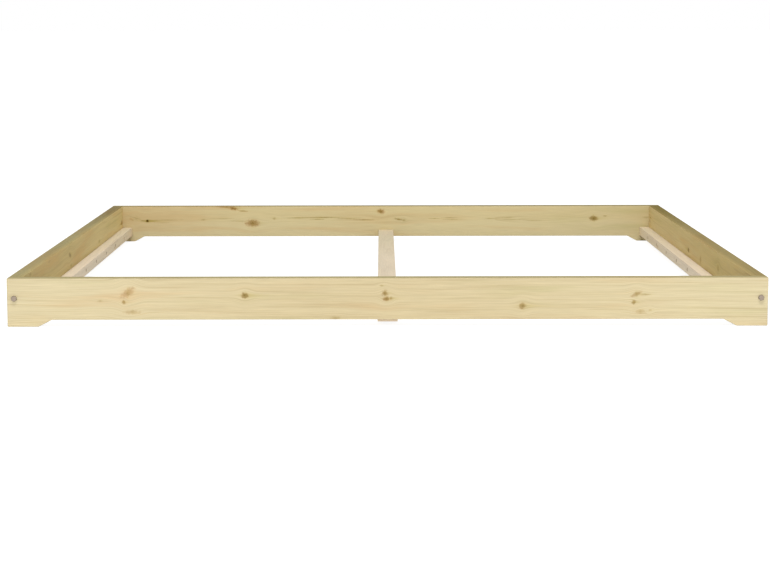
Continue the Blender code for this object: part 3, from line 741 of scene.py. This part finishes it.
def wood_material(name, knot, figure, arris_tone, gloss):
    """The finish of a sawn piece: its figure and knots, with painted light and shade put on face by face from
    its tones.
    """
    sawn = SAWN[name]
    tones = sawn.tones
    material, tree, place = new_material(name)
    spot = split_point(tree, place.outputs["Object"])
    facing = split_point(tree, place.outputs["Normal"])
    grain, through = ("XYZ".index(axis) for axis in sawn.lie)
    along, depth, across = spot[grain], spot[through], spot[2]
    ripple = noise(tree, join_point(tree, along, depth, across), scale=170.0, detail=2.5) * RAGGEDNESS
    state = dict.fromkeys(STATE, 0.0)
    for each in sawn.knots:
        node = add_node(tree, "Group", {
            "Along": along, "Across": across, "Ripple": ripple, "Knot along": each.along,
            "Knot across": each.across, "Half length": each.length / 2, "Half height": each.height / 2,
            "Lean": each.lean, "Tail": each.tail, "Dark": each.dark, "Halo": each.stain, **state,
        }, node_tree=knot)
        state = {label: node.outputs[label] for label in STATE}
    wood = add_node(tree, "Group", {
        "Along": along, "Depth": depth, "Across": across, "Seed": sawn.seed,
        "Heart height": sawn.heart_height, "Heart depth": sawn.heart_depth, "Sway": sawn.sway,
        "Flame": sawn.flame, **state,
    }, node_tree=figure)
    # Painted light and shade that changes along the piece, from the tone at the run's start to the tone at
    # its end
    run = along if tones.start < 0 else along.size()
    faces = mix_colours(tree, run.ramp(tones.start, RUN_END), tones.faces, tones.far_faces)
    # Painted light on the faces low down
    faces = mix_colours(tree, across.ramp(*LOW_SPAN), faces, tones.low, "MULTIPLY")
    # The other broad face takes its own lighter tone, painted light that lifts it out of shade
    turned = (facing[through] * -tones.front).ramp(*OTHER_SPAN)
    faces = mix_colours(tree, turned, faces, tones.other)
    # Painted shade on the faces that look up, which changes along the run and is lighter on the half of a
    # side board's top next to the bed, and on that half the edges are not darkened
    top = mix_colours(tree, run.ramp(tones.top_start, RUN_END), tones.top, tones.far_top)
    inner = 0.0 if tones.inner == PLAIN else depth.size().ramp(SIDE_MIDDLE_X, INNER_X + INNER_MARGIN)
    top = mix_colours(tree, inner, top, tones.inner, "MULTIPLY")
    upward = facing[2].ramp(*UPWARD_SPAN)
    shade = mix_colours(tree, upward, faces, top)
    flat = facing[0].size().larger(facing[1].size()).larger(facing[2].size())
    end_grain = facing[grain].size().ramp(*END_GRAIN_SPAN)
    colour = mix_colours(tree, 1.0, wood.outputs["Color"], shade, "MULTIPLY")
    arris = flat.ramp(*EDGE_SPAN).larger(end_grain) * (1.0 - inner)
    add_finish(tree, {
        "Base Color": mix_colours(tree, arris, colour, arris_tone, "MULTIPLY"),
        "Roughness": Amount(tree, wood.outputs["Roughness"]) + upward * UPWARD_ROUGHNESS,
        "Normal": bumped(tree, wood.outputs["Height"], strength=0.35, distance=0.00025),
        "Specular IOR Level": gloss,
    })
    return material


def drilled_material(raw):
    """Bare wood inside bores and holes, dull with cut fibres, and darkened with painted shade for the shade
    inside them.
    """
    material, tree, place = new_material("drilled_wood_painted_shade")
    fibre = noise(tree, place.outputs["Object"], scale=1400.0)
    add_finish(tree, {
        "Base Color": tinted(tree, raw.bore_shade_colour, fibre * 0.6 + 1.0),
        "Roughness": fibre * 0.2 + 0.85,
        "Specular IOR Level": SPRUCE_GLOSS,
    })
    return material


def beech_material(raw):
    """Turned beech with short dark flecks along the dowel."""
    material, tree, place = new_material("turned_beech")
    x, y, z = split_point(tree, place.outputs["Object"])
    fleck = noise(tree, join_point(tree, x * 1800.0, y * 260.0, z * 1800.0))
    cloud = noise(tree, join_point(tree, x, y, z), scale=90.0)
    add_finish(tree, {
        "Base Color": tinted(tree, raw.dowel_colour, cloud * 0.35 - fleck.ramp(0.05, 0.25) * 0.30 + 1.0),
        "Roughness": cloud * 0.2 + 0.68,
        "Normal": bumped(tree, fleck, strength=0.3, distance=0.0001),
    })
    return material


def zinc_material(hardware):
    """Zinc plated steel: a mottled bright skin with fine scratches and duller patches."""
    material, tree, place = new_material("zinc_plate")
    spot = place.outputs["Object"]
    x, y, z = split_point(tree, spot)
    mottle = noise(tree, spot, scale=420.0, detail=3.0)
    scratch = noise(tree, join_point(tree, x * 900.0, y * 200.0, z * 5200.0))
    add_finish(tree, {
        "Base Color": tinted(tree, hardware.zinc_colour, mottle * 0.5 + scratch * 0.25 + 1.0),
        "Metallic": 0.9,
        "Roughness": mottle * 0.4 + scratch * 0.2 + 0.42,
        "Normal": bumped(tree, scratch + mottle, strength=0.25, distance=0.00005),
    })
    return material


def deselect_all():
    """Leave nothing selected, so that an operator acts on its own piece alone."""
    bpy.ops.object.select_all(action="DESELECT")


def choose(piece):
    """Select one piece and make it the active one."""
    deselect_all()
    piece.select_set(True)
    bpy.context.view_layer.objects.active = piece


def start_piece(name):
    """Name the primitive just added, and put its place and size into its mesh."""
    piece = bpy.context.object
    piece.name = name
    piece.data.name = name
    bpy.ops.object.transform_apply(location=True, rotation=True, scale=True)
    return piece


def add_box(name, low, high):
    """A cube that fills the space between two corners."""
    deselect_all()
    bpy.ops.mesh.primitive_cube_add(size=1, location=(low + high) / 2, scale=high - low)
    return start_piece(name)


def add_rod(start, end, radius, sides=BORE_SIDES):
    """A round rod between two points."""
    deselect_all()
    start, end = Vector(start), Vector(end)
    run = end - start
    bpy.ops.mesh.primitive_cylinder_add(
        vertices=sides,
        radius=radius,
        depth=run.length,
        location=(start + end) / 2,
        rotation=run.to_track_quat("Z", "Y").to_euler(),
    )
    return start_piece("rod")


def add_turned(name, profile, sides):
    """A round piece about Z, drawn up ring by ring through (radius, height) points, lowest first."""
    radius, height = profile[0]
    deselect_all()
    bpy.ops.mesh.primitive_circle_add(
        vertices=sides, radius=radius, fill_type="NGON", location=(0, 0, height)
    )
    piece = start_piece(name)
    bpy.ops.object.mode_set(mode="EDIT")
    for new_radius, new_height in profile[1:]:
        rise = {"value": (0, 0, new_height - height)}
        bpy.ops.mesh.extrude_region_move(TRANSFORM_OT_translate=rise)
        grow = new_radius / radius
        bpy.ops.transform.resize(value=(grow, grow, 1), center_override=(0, 0, 0))
        radius, height = new_radius, new_height
    bpy.ops.mesh.select_all(action="SELECT")
    bpy.ops.mesh.normals_make_consistent(inside=False)
    bpy.ops.object.mode_set(mode="OBJECT")
    return piece


def pick(piece, kind, test):
    """In edit mode, select just the vertices, edges or faces that pass a test."""
    bpy.ops.mesh.select_mode(type=kind)
    bpy.ops.mesh.select_all(action="DESELECT")
    shape = bmesh.from_edit_mesh(piece.data)
    items = {"VERT": shape.verts, "EDGE": shape.edges, "FACE": shape.faces}[kind]
    for item in items:
        if test(item):
            item.select_set(True)
    bmesh.update_edit_mesh(piece.data)


def rise_of(edge, axis):
    """How far an edge runs along X, Y or Z."""
    first, second = edge.verts
    return abs(getattr(first.co, axis) - getattr(second.co, axis))


def apply_modifier(piece, kind, **options):
    """Add a modifier to a piece, set it and apply it."""
    choose(piece)
    bpy.ops.object.modifier_add(type=kind)
    modifier = piece.modifiers[-1]
    for option, value in options.items():
        setattr(modifier, option, value)
    bpy.ops.object.modifier_apply(modifier=modifier.name)


def paint(piece, material):
    """Give a piece one material all over."""
    piece.data.materials.clear()
    piece.data.materials.append(material)


def cut(piece, cutters, inside=None, operation="DIFFERENCE"):
    """Cut a piece with cutters that don't meet each other, and give the new faces a material of their own."""
    deselect_all()
    for cutter in cutters:
        cutter.select_set(True)
    joined = cutters[0]
    bpy.context.view_layer.objects.active = joined
    if len(cutters) > 1:
        bpy.ops.object.join()
    options = {"object": joined, "operation": operation, "solver": "EXACT"}
    if inside is not None:
        paint(joined, inside)
        options["material_mode"] = "TRANSFER"
    apply_modifier(piece, "BOOLEAN", **options)
    bpy.data.objects.remove(joined, do_unlink=True)


def smooth(piece):
    """Shade the rounds smooth and let the broad flat faces set the normals beside them."""
    choose(piece)
    bpy.ops.object.shade_smooth_by_angle(angle=SHARP_FROM)
    apply_modifier(piece, "WEIGHTED_NORMAL", keep_sharp=True)


def bevel_edges(piece, width, segments, test):
    """Round the edges of a piece that pass a test."""
    choose(piece)
    bpy.ops.object.mode_set(mode="EDIT")
    pick(piece, "EDGE", test)
    bpy.ops.mesh.bevel(offset=width, segments=segments, affect="EDGES")
    bpy.ops.object.mode_set(mode="OBJECT")


def runs_along_bed(edge):
    """Tell whether an edge runs from the front of the bed to its back."""
    return rise_of(edge, "y") > INNER_Y


def nodes_named(start):
    """The construction's nodes whose names start alike, in order."""
    return sorted(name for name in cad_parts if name.startswith(start))


def middle_of(node):
    """The middle of a construction node's box."""
    low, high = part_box(node)
    return (low + high) / 2


def reach_of(node, axis, sign):
    """Where a node ends along X, Y or Z: its high end for a positive sign, its low end for a negative one."""
    low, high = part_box(node)
    return getattr(high if sign > 0 else low, axis)


def extent_of(node, axis):
    """How long a node is along X, Y or Z."""
    return reach_of(node, axis, 1) - reach_of(node, axis, -1)


def toward_middle(side_sign):
    """Turn a piece so that its Z points from a side board to the middle of the bed."""
    return Matrix.Rotation(-side_sign * math.pi / 2, 4, "Y")


def out_of_end(end_sign):
    """Turn a piece so that its Z points out of the front or the back of the bed."""
    return Matrix.Rotation(-end_sign * math.pi / 2, 4, "X")


def ledge_screw_place(node, side_sign):
    """Where a ledge's screw has its head, which looks to the middle of the bed."""
    axis = middle_of(node)
    head_x = reach_of(node, "x", -side_sign)
    return Matrix.Translation((head_x, axis.y, axis.z)) @ toward_middle(side_sign)


def foot_screw_place(node):
    """Where a screw of the beam's foot has its head, which looks down."""
    axis = middle_of(node)
    return Matrix.Translation((axis.x, axis.y, reach_of(node, "z", -1))) @ Matrix.Rotation(math.pi, 4, "X")


def finish_piece(piece, slot, *nodes):
    """Give a piece its place among the construction's pieces."""
    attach(piece, "root")
    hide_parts(*nodes)


def dowel_bores(start, gap):
    """Cutters for the dowels whose names start alike, each a little wider and longer than its dowel."""
    cutters = []
    for node in nodes_named(start):
        axis = middle_of(node)
        reach = Vector((0, extent_of(node, "y") / 2 + END_ROOM_GAPS * gap, 0))
        cutters.append(add_rod(axis - reach, axis + reach, extent_of(node, "z") / 2 + gap))
    return cutters


def sunk_hole(hardware, depth, mouth, bore_radius, matrix):
    """Cutter for the hole of a countersunk screw whose head's top is at zero, widened above it to a bore."""
    shank = hardware.screw_diameter / 2 + hardware.fit_gap
    head = hardware.screw_diameter + hardware.fit_gap
    rim = hardware.screw_rim
    sink = hardware.screw_sink
    cone_end = -rim - (head - shank)
    profile = [(shank, -depth), (shank, cone_end), (head, -rim), (head, sink)]
    profile += [(bore_radius, sink), (bore_radius, mouth + CUT_OVERRUN)]
    hole = add_turned("hole", profile, HOLE_SIDES)
    hole.data.transform(matrix)
    return hole


def model_end_board(end_name, boards, hardware, outside, inside):
    """An end board: its foot strips are drawn down, their slopes pushed out, then it is rounded and bored."""
    low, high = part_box(end_name + "_board")
    board = add_box(end_name + "_board_pine", Vector((low.x, low.y, FOOT_HEIGHT)), high)
    paint(board, outside)
    instep = high.x - boards.foot_flat - boards.foot_slope_run
    bpy.ops.object.mode_set(mode="EDIT")
    for _, side_sign in SIDES:
        bpy.ops.mesh.select_all(action="SELECT")
        bpy.ops.mesh.bisect(plane_co=(side_sign * instep, 0, 0), plane_no=(1, 0, 0))
    pick(board, "FACE", lambda f: f.normal.z < LOOKS_DOWN and abs(f.calc_center_median().x) > instep)
    bpy.ops.mesh.extrude_region_move(TRANSFORM_OT_translate={"value": (0, 0, -FOOT_HEIGHT)})
    for _, side_sign in SIDES:
        edge_x = side_sign * instep
        pick(board, "VERT", lambda v: v.co.z < NEAR and abs(v.co.x - edge_x) < NEAR)
        bpy.ops.transform.translate(value=(side_sign * boards.foot_slope_run, 0, 0))
    bpy.ops.object.mode_set(mode="OBJECT")
    apply_modifier(
        board, "BEVEL", width=boards.edge_round, segments=boards.edge_segments, limit_method="ANGLE",
        angle_limit=ROUNDED_FROM,
    )
    bores = dowel_bores("corner_dowel_" + end_name, hardware.fit_gap)
    bores += dowel_bores("beam_dowel_" + end_name, hardware.fit_gap)
    radius = hardware.bolt_diameter / 2 + hardware.bolt_clearance
    for side_name, _ in SIDES:
        axis = middle_of("corner_bolt_" + end_name + "_" + side_name)
        start = (axis.x, low.y - CUT_OVERRUN, axis.z)
        end = (axis.x, high.y + CUT_OVERRUN, axis.z)
        bores.append(add_rod(start, end, radius))
    cut(board, bores, inside)
    smooth(board)
    return board


def model_side_board(side_name, side_sign, boards, hardware, outside, inside):
    """A side board, rounded along its edges and bored for its bolts, nuts, dowels and screws."""
    board = add_box("side_board_" + side_name + "_pine", *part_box("side_board_" + side_name))
    paint(board, outside)
    bevel_edges(board, boards.edge_round, boards.edge_segments, runs_along_bed)
    gap = hardware.fit_gap
    room = END_ROOM_GAPS * gap

    def bore_to(node, radius, sides):
        """Cutter from the board's inner face to just past a piece that lies across it."""
        axis = middle_of(node)
        mouth = (side_sign * (INNER_X - CUT_OVERRUN), axis.y, axis.z)
        bottom = (reach_of(node, "x", side_sign) + side_sign * room, axis.y, axis.z)
        return add_rod(mouth, bottom, radius, sides)

    bores = []
    nut_bores = []
    for end_name, end_sign in ENDS:
        corner = end_name + "_" + side_name
        bores += dowel_bores("corner_dowel_" + corner, gap)
        bolt = "corner_bolt_" + corner
        axis = middle_of(bolt)
        start = (axis.x, end_sign * OUTER_Y, axis.z)
        end = (axis.x, reach_of(bolt, "y", -end_sign) - end_sign * room, axis.z)
        bores.append(add_rod(start, end, hardware.bolt_diameter / 2 + hardware.bolt_clearance))
        nut = "barrel_nut_" + corner
        nut_bores.append(bore_to(nut, extent_of(nut, "z") / 2 + gap, NUT_SIDES))
    pilot_radius = hardware.screw_diameter / 2 + gap
    screws = nodes_named("ledge_screw_" + side_name)
    pilots = [bore_to(node, pilot_radius, PILOT_SIDES) for node in screws]
    for cutters in (bores, nut_bores, pilots):
        cut(board, cutters, inside)
    smooth(board)
    return board


def model_ledge(side_name, side_sign, raw, hardware, outside, inside):
    """A sawn strip with broken edges and counterbored screw holes in its inner face."""
    node = "ledge_" + side_name
    ledge = add_box(node + "_spruce", *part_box(node))
    paint(ledge, outside)
    bevel_edges(ledge, raw.arris, ARRIS_SEGMENTS, runs_along_bed)
    depth = extent_of(node, "x")
    face_x = reach_of(node, "x", -side_sign)
    holes = []
    for screw in nodes_named("ledge_screw_" + side_name):
        mouth = abs(reach_of(screw, "x", -side_sign) - face_x)
        place = ledge_screw_place(screw, side_sign)
        holes.append(sunk_hole(hardware, depth, mouth, hardware.bore_diameter / 2, place))
    cut(ledge, holes, inside)
    smooth(ledge)
    return ledge


def model_beam(raw, hardware, outside, inside):
    """The sawn centre beam, bored for its dowels and for the screws of its foot."""
    low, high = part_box("centre_beam")
    beam = add_box("centre_beam_spruce", low, high)
    paint(beam, outside)
    bevel_edges(beam, raw.arris, ARRIS_SEGMENTS, runs_along_bed)
    bores = dowel_bores("beam_dowel", hardware.fit_gap)
    radius = hardware.screw_diameter / 2 + hardware.fit_gap
    for node in nodes_named("foot_screw"):
        axis = middle_of(node)
        tip = reach_of(node, "z", 1) + END_ROOM_GAPS * hardware.fit_gap
        start = (axis.x, axis.y, low.z - CUT_OVERRUN)
        bores.append(add_rod(start, (axis.x, axis.y, tip), radius, PILOT_SIDES))
    cut(beam, bores, inside)
    smooth(beam)
    return beam


def model_beam_foot(raw, hardware, outside, inside):
    """The block under the beam, with broken corners and countersunk holes in its underside."""
    low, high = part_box("beam_foot")
    foot = add_box("beam_foot_spruce", low, high)
    paint(foot, outside)
    bevel_edges(foot, raw.arris, ARRIS_SEGMENTS, lambda e: rise_of(e, "z") > NEAR)
    bore_radius = hardware.screw_diameter + hardware.fit_gap
    holes = []
    for node in nodes_named("foot_screw"):
        head_z = reach_of(node, "z", -1)
        holes.append(sunk_hole(hardware, high.z, head_z, bore_radius, foot_screw_place(node)))
    cut(foot, holes, inside)
    smooth(foot)
    return foot


def cut_thread(piece, low, high, pitch, depth):
    """Sink a helical groove into a shank between two heights, shallower at both ends."""
    for vertex in piece.data.vertices:
        x, y, z = vertex.co
        if not low < z < high:
            continue
        radius = math.hypot(x, y)
        turn = z / pitch - math.atan2(y, x) / (2 * math.pi)
        groove = 1 - abs(2 * (turn % 1) - 1)
        fade = min(1.0, (z - low) / pitch, (high - z) / pitch)
        share = 1 - min(depth, radius / 2) / radius * groove * fade
        vertex.co.x = x * share
        vertex.co.y = y * share


def add_rings(piece, low, high, count):
    """Divide a shank between two heights into many rings."""

    def stands_between(edge):
        """Tell whether an edge rises and lies between the two heights."""
        heights = [vertex.co.z for vertex in edge.verts]
        return min(heights) > low - NEAR and max(heights) < high + NEAR and rise_of(edge, "z") > NEAR

    choose(piece)
    bpy.ops.object.mode_set(mode="EDIT")
    pick(piece, "EDGE", stands_between)
    bpy.ops.mesh.subdivide(number_cuts=count)
    bpy.ops.object.mode_set(mode="OBJECT")


def model_bolt(hardware, length):
    """A bolt along Z: a hexagon head with a domed top and a washer face, and a threaded shank below zero."""
    radius = hardware.bolt_diameter / 2
    point = hardware.bolt_point
    pitch = hardware.bolt_pitch
    height = hardware.bolt_head_height
    corner = hardware.bolt_flats / math.sqrt(3)
    crown = hardware.bolt_flats / 2 - hardware.bolt_collar
    rim = corner + CUT_OVERRUN
    shoulder = height - (rim - crown) * math.tan(HEAD_CHAMFER)
    bolt = add_rod((0, 0, hardware.bolt_collar), (0, 0, height), corner, HEAD_SIDES)
    profile = ((rim, -CUT_OVERRUN), (rim, shoulder), (crown, height), (crown / 2, height + crown))
    cut(bolt, [add_turned("crown", profile, CROWN_SIDES)], operation="INTERSECT")
    thread_top = hardware.bolt_thread - length
    profile = ((radius - point, -length), (radius, point - length), (radius, thread_top), (radius, 0))
    profile += ((crown, 0), (crown, height / 2))
    cut(bolt, [add_turned("shank", profile, SHANK_SIDES)], operation="UNION")
    rings = int((hardware.bolt_thread - point) / pitch * BOLT_RINGS_PER_TURN)
    add_rings(bolt, point - length, thread_top, rings)
    cut_thread(bolt, -length - NEAR, thread_top, pitch, pitch * BOLT_THREAD_SHARE)
    smooth(bolt)
    return bolt


def model_nut(hardware, length, radius):
    """A barrel nut along Z with chamfered rims, a cross bore along Y and a slot at its top."""
    top = length / 2
    small = radius - hardware.nut_chamfer
    shoulder = top - hardware.nut_chamfer
    nut = add_turned("nut", ((small, -top), (radius, -shoulder), (radius, shoulder), (small, top)), NUT_SIDES)
    reach = radius + CUT_OVERRUN
    cut(nut, [add_rod((0, -reach, 0), (0, reach, 0), hardware.bolt_diameter / 2 + hardware.fit_gap)])
    half_slot = hardware.nut_slot / 2
    slot_low = Vector((-half_slot, -reach, top - CUT_OVERRUN))
    cut(nut, [add_box("slot", slot_low, Vector((half_slot, reach, top + CUT_OVERRUN)))])
    smooth(nut)
    return nut


def model_screw(hardware, length):
    """A countersunk screw along Z, its head's top at zero, with a star recess and a coarse thread."""
    head = hardware.screw_diameter
    radius = hardware.screw_diameter / 2
    rim = hardware.screw_rim
    pitch = hardware.screw_pitch
    cone_end = -rim - (head - radius)
    tip_end = hardware.screw_tip - length
    profile = ((NEAR, -length), (radius, tip_end), (radius, cone_end), (head, -rim), (head, 0))
    screw = add_turned("screw", profile, SCREW_SIDES)
    low, high = (0, 0, -hardware.recess_depth), (0, 0, CUT_OVERRUN)
    star = add_rod(low, high, hardware.recess_width / 2, STAR_POINTS)
    choose(star)
    bpy.ops.object.mode_set(mode="EDIT")
    step = 2 * math.pi / STAR_POINTS
    pick(star, "VERT", lambda v: round(math.atan2(v.co.y, v.co.x) / step) % 2 == 1)
    waist = hardware.recess_waist
    bpy.ops.transform.resize(value=(waist, waist, 1), center_override=(0, 0, 0))
    bpy.ops.object.mode_set(mode="OBJECT")
    cut(screw, [star])
    turns = (cone_end + length) / pitch
    add_rings(screw, -length, tip_end, int(turns))
    add_rings(screw, tip_end, cone_end, int(turns * SCREW_RINGS_PER_TURN))
    cut_thread(screw, -length - NEAR, cone_end - NEAR, pitch, radius * SCREW_THREAD_SHARE)
    smooth(screw)
    return screw


def add_fastener(pattern, node, matrix):
    """Copy a pattern with its own mesh to the place of a construction node, and finish it as plated steel."""
    piece = pattern.copy()
    piece.name = node + "_zinc"
    piece.data = pattern.data.copy()
    piece.data.name = piece.name
    bpy.context.scene.collection.objects.link(piece)
    piece.data.transform(matrix)
    finish_piece(piece, "zinc_steel", node)


class FUTON_BED_OT_boards(bpy.types.Operator):
    """Model the two end boards and the two side boards, and finish them in lacquered pine."""

    bl_idname = "futon_bed.boards"
    bl_label = "Boards"

    def execute(self, context):
        boards = context.scene.futon_bed_boards
        hardware = context.scene.futon_bed_hardware
        knot = knot_group()
        figure = figure_group("pine_figure", boards, PINE_CONTRAST, PINE_ROUGHNESS)
        inside = drilled_material(context.scene.futon_bed_raw_wood)

        def pine(name):
            """The finish of one board."""
            return wood_material("pine_" + name, knot, figure, boards.arris_tone, PINE_GLOSS)

        for name, _ in ENDS:
            board = model_end_board(name, boards, hardware, pine(name), inside)
            finish_piece(board, "lacquered_pine", name + "_board")
        for name, side_sign in SIDES:
            board = model_side_board(name, side_sign, boards, hardware, pine(name), inside)
            finish_piece(board, "lacquered_pine", "side_board_" + name)
        return {"FINISHED"}


class FUTON_BED_OT_raw_wood(bpy.types.Operator):
    """Model the ledges, the centre beam and its foot, and finish them in sawn spruce."""

    bl_idname = "futon_bed.raw_wood"
    bl_label = "Ledges and beam"

    def execute(self, context):
        raw = context.scene.futon_bed_raw_wood
        hardware = context.scene.futon_bed_hardware
        knot = bpy.data.node_groups["pine_knot"]
        inside = bpy.data.materials["drilled_wood_painted_shade"]
        figure = figure_group("spruce_figure", raw, SPRUCE_CONTRAST, SPRUCE_ROUGHNESS)

        def spruce(name):
            """The finish of one raw piece."""
            return wood_material("spruce_" + name, knot, figure, raw.arris_tone, SPRUCE_GLOSS)

        for name, side_sign in SIDES:
            node = "ledge_" + name
            ledge = model_ledge(name, side_sign, raw, hardware, spruce(node), inside)
            finish_piece(ledge, "raw_spruce", node)
        finish_piece(model_beam(raw, hardware, spruce("beam"), inside), "raw_spruce", "centre_beam")
        finish_piece(model_beam_foot(raw, hardware, spruce("foot"), inside), "raw_spruce", "beam_foot")
        return {"FINISHED"}


class FUTON_BED_OT_dowels(bpy.types.Operator):
    """Finish the fluted dowels of the construction in turned beech."""

    bl_idname = "futon_bed.dowels"
    bl_label = "Dowels"

    def execute(self, context):
        material = beech_material(context.scene.futon_bed_raw_wood)
        for node in nodes_named("corner_dowel") + nodes_named("beam_dowel"):
            paint(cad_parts[node], material)
        return {"FINISHED"}


class FUTON_BED_OT_hardware(bpy.types.Operator):
    """Model the corner bolts, the barrel nuts and the screws, and finish them in zinc plated steel."""

    bl_idname = "futon_bed.hardware"
    bl_label = "Bolts, nuts and screws"

    def execute(self, context):
        hardware = context.scene.futon_bed_hardware
        zinc = zinc_material(hardware)
        head_height = hardware.bolt_head_height
        bolt = model_bolt(hardware, extent_of("corner_bolt_front_left", "y") - head_height)
        nut_node = "barrel_nut_front_left"
        nut = model_nut(hardware, extent_of(nut_node, "x"), extent_of(nut_node, "z") / 2)
        screw = model_screw(hardware, extent_of("ledge_screw_left_1", "x"))
        foot_screw = model_screw(hardware, extent_of("foot_screw_front", "z"))
        patterns = (bolt, nut, screw, foot_screw)
        for pattern in patterns:
            paint(pattern, zinc)
        for end_name, end_sign in ENDS:
            for side_name, side_sign in SIDES:
                corner = end_name + "_" + side_name
                node = "corner_bolt_" + corner
                axis = middle_of(node)
                head_y = reach_of(node, "y", end_sign) - end_sign * head_height
                turn = Matrix.Rotation(math.radians(BOLT_TURNS[corner]), 4, "Z")
                place = Matrix.Translation((axis.x, head_y, axis.z)) @ out_of_end(end_sign) @ turn
                add_fastener(bolt, node, place)
                node = "barrel_nut_" + corner
                add_fastener(nut, node, Matrix.Translation(middle_of(node)) @ toward_middle(side_sign))
        for side_name, side_sign in SIDES:
            for node in nodes_named("ledge_screw_" + side_name):
                add_fastener(screw, node, ledge_screw_place(node, side_sign))
        for node in nodes_named("foot_screw"):
            add_fastener(foot_screw, node, foot_screw_place(node))
        for pattern in patterns:
            bpy.data.objects.remove(pattern, do_unlink=True)
        return {"FINISHED"}


def seen_directly(tree):
    """1 for what the camera sees, straight, mirrored or through glass, and 0 for light on the bed."""
    rays = add_node(tree, "LightPath")
    camera, glossy, glass = (
        Amount(tree, rays.outputs[name]) for name in ("Is Camera Ray", "Is Glossy Ray", "Is Transmission Ray")
    )
    return camera.larger(glossy).larger(glass)


def floor_material(stage):
    """A white floor that shows only a faint shadow, and that is clear from below."""
    material = bpy.data.materials.new("white_floor")
    tree = empty_tree(material)
    lit = add_node(tree, "BsdfDiffuse", {"Color": [stage.floor_tone] * 3})
    faint = add_node(tree, "BsdfDiffuse", {"Color": [stage.floor_shade] * 3})
    glow = add_node(tree, "Emission", {"Color": PLAIN, "Strength": stage.floor_glow})
    seen = add_node(tree, "AddShader", (faint.outputs[0], glow.outputs[0]))
    mixed = add_node(tree, "MixShader", (seen_directly(tree), lit.outputs[0], seen.outputs[0]))
    below = add_node(tree, "NewGeometry").outputs["Backfacing"]
    clear = add_node(tree, "BsdfTransparent")
    mixed = add_node(tree, "MixShader", (below, mixed.outputs[0], clear.outputs[0]))
    add_node(tree, "OutputMaterial", {"Surface": mixed.outputs[0]})
    return material


def make_sky(stage):
    """A white background that lights the bed only softly."""
    world = bpy.data.worlds.new("studio_sky")
    bpy.context.scene.world = world
    tree = empty_tree(world)
    soft = add_node(tree, "Background", {"Color": PLAIN, "Strength": stage.sky_strength})
    white = add_node(tree, "Background", {"Color": PLAIN, "Strength": 1.0})
    mixed = add_node(tree, "MixShader", (seen_directly(tree), soft.outputs[0], white.outputs[0]))
    add_node(tree, "OutputWorld", {"Surface": mixed.outputs[0]})


def add_lamp(name, stage, elevation, distance, power):
    """A soft lamp in front of the bed, turned to the bed's middle."""
    way = Vector((0, -math.cos(elevation), math.sin(elevation)))
    bpy.ops.object.light_add(type="AREA", location=way * distance, rotation=(math.pi / 2 - elevation, 0, 0))
    lamp = bpy.context.object
    lamp.name = name
    lamp.visible_camera = False
    lamp.data.shape = "RECTANGLE"
    lamp.data.size = stage.lamp_width
    lamp.data.size_y = stage.lamp_height
    lamp.data.energy = power


class FUTON_BED_OT_stage(bpy.types.Operator):
    """Set up the white floor, the soft lamps, the background and the camera."""

    bl_idname = "futon_bed.stage"
    bl_label = "Stage"

    def execute(self, context):
        stage = context.scene.futon_bed_stage
        deselect_all()
        bpy.ops.mesh.primitive_plane_add(size=stage.floor_width, location=(0, 0, -stage.floor_gap))
        floor = start_piece("studio_floor")
        floor.data.materials.append(floor_material(stage))
        make_sky(stage)
        add_lamp("main_lamp", stage, stage.key_elevation, stage.key_distance, stage.key_power)
        add_lamp("fill_lamp", stage, stage.fill_elevation, stage.fill_distance, stage.fill_power)
        turn = (
            Matrix.Rotation(stage.camera_yaw, 4, "Z")
            @ Matrix.Rotation(math.pi / 2 - stage.camera_pitch, 4, "X")
            @ Matrix.Rotation(stage.camera_roll, 4, "Z")
        )
        bpy.ops.object.camera_add(location=stage.camera_place, rotation=turn.to_euler())
        camera = context.object
        camera.name = "photo_camera"
        camera.data.lens = stage.camera_focal * camera.data.sensor_width / PHOTO_WIDTH
        camera.data.clip_end = stage.floor_width
        context.scene.camera = camera
        context.scene.view_settings.view_transform = "Standard"
        return {"FINISHED"}


class FUTON_BED_PT_sidebar(bpy.types.Panel):
    """Lists the steps that build the bed, in order."""

    bl_idname = "FUTON_BED_PT_sidebar"
    bl_label = "Futon Bed"
    bl_space_type = "VIEW_3D"
    bl_region_type = "UI"
    bl_category = "Futon Bed"

    def draw(self, context):
        for operator in OPERATORS:
            self.layout.operator(operator.bl_idname)


SETTINGS = {
    "futon_bed_boards": FutonBedBoards,
    "futon_bed_raw_wood": FutonBedRawWood,
    "futon_bed_hardware": FutonBedHardware,
    "futon_bed_stage": FutonBedStage,
}
OPERATORS = (
    FUTON_BED_OT_boards,
    FUTON_BED_OT_raw_wood,
    FUTON_BED_OT_dowels,
    FUTON_BED_OT_hardware,
    FUTON_BED_OT_stage,
)
CLASSES = (*SETTINGS.values(), *OPERATORS, FUTON_BED_PT_sidebar)


def register():
    """Register the classes and hang the settings on the scene."""
    for each in CLASSES:
        bpy.utils.register_class(each)
    for name, group in SETTINGS.items():
        setattr(bpy.types.Scene, name, PointerProperty(type=group))


def unregister():
    """Take the settings and the classes away again."""
    for name in SETTINGS:
        delattr(bpy.types.Scene, name)
    for each in reversed(CLASSES):
        bpy.utils.unregister_class(each)


def main():
    """Build the bed's looks from start to end."""
    register()
    bpy.ops.futon_bed.boards()
    bpy.ops.futon_bed.raw_wood()
    bpy.ops.futon_bed.dowels()
    bpy.ops.futon_bed.hardware()
    bpy.ops.futon_bed.stage()


if __name__ == "__main__":
    main()
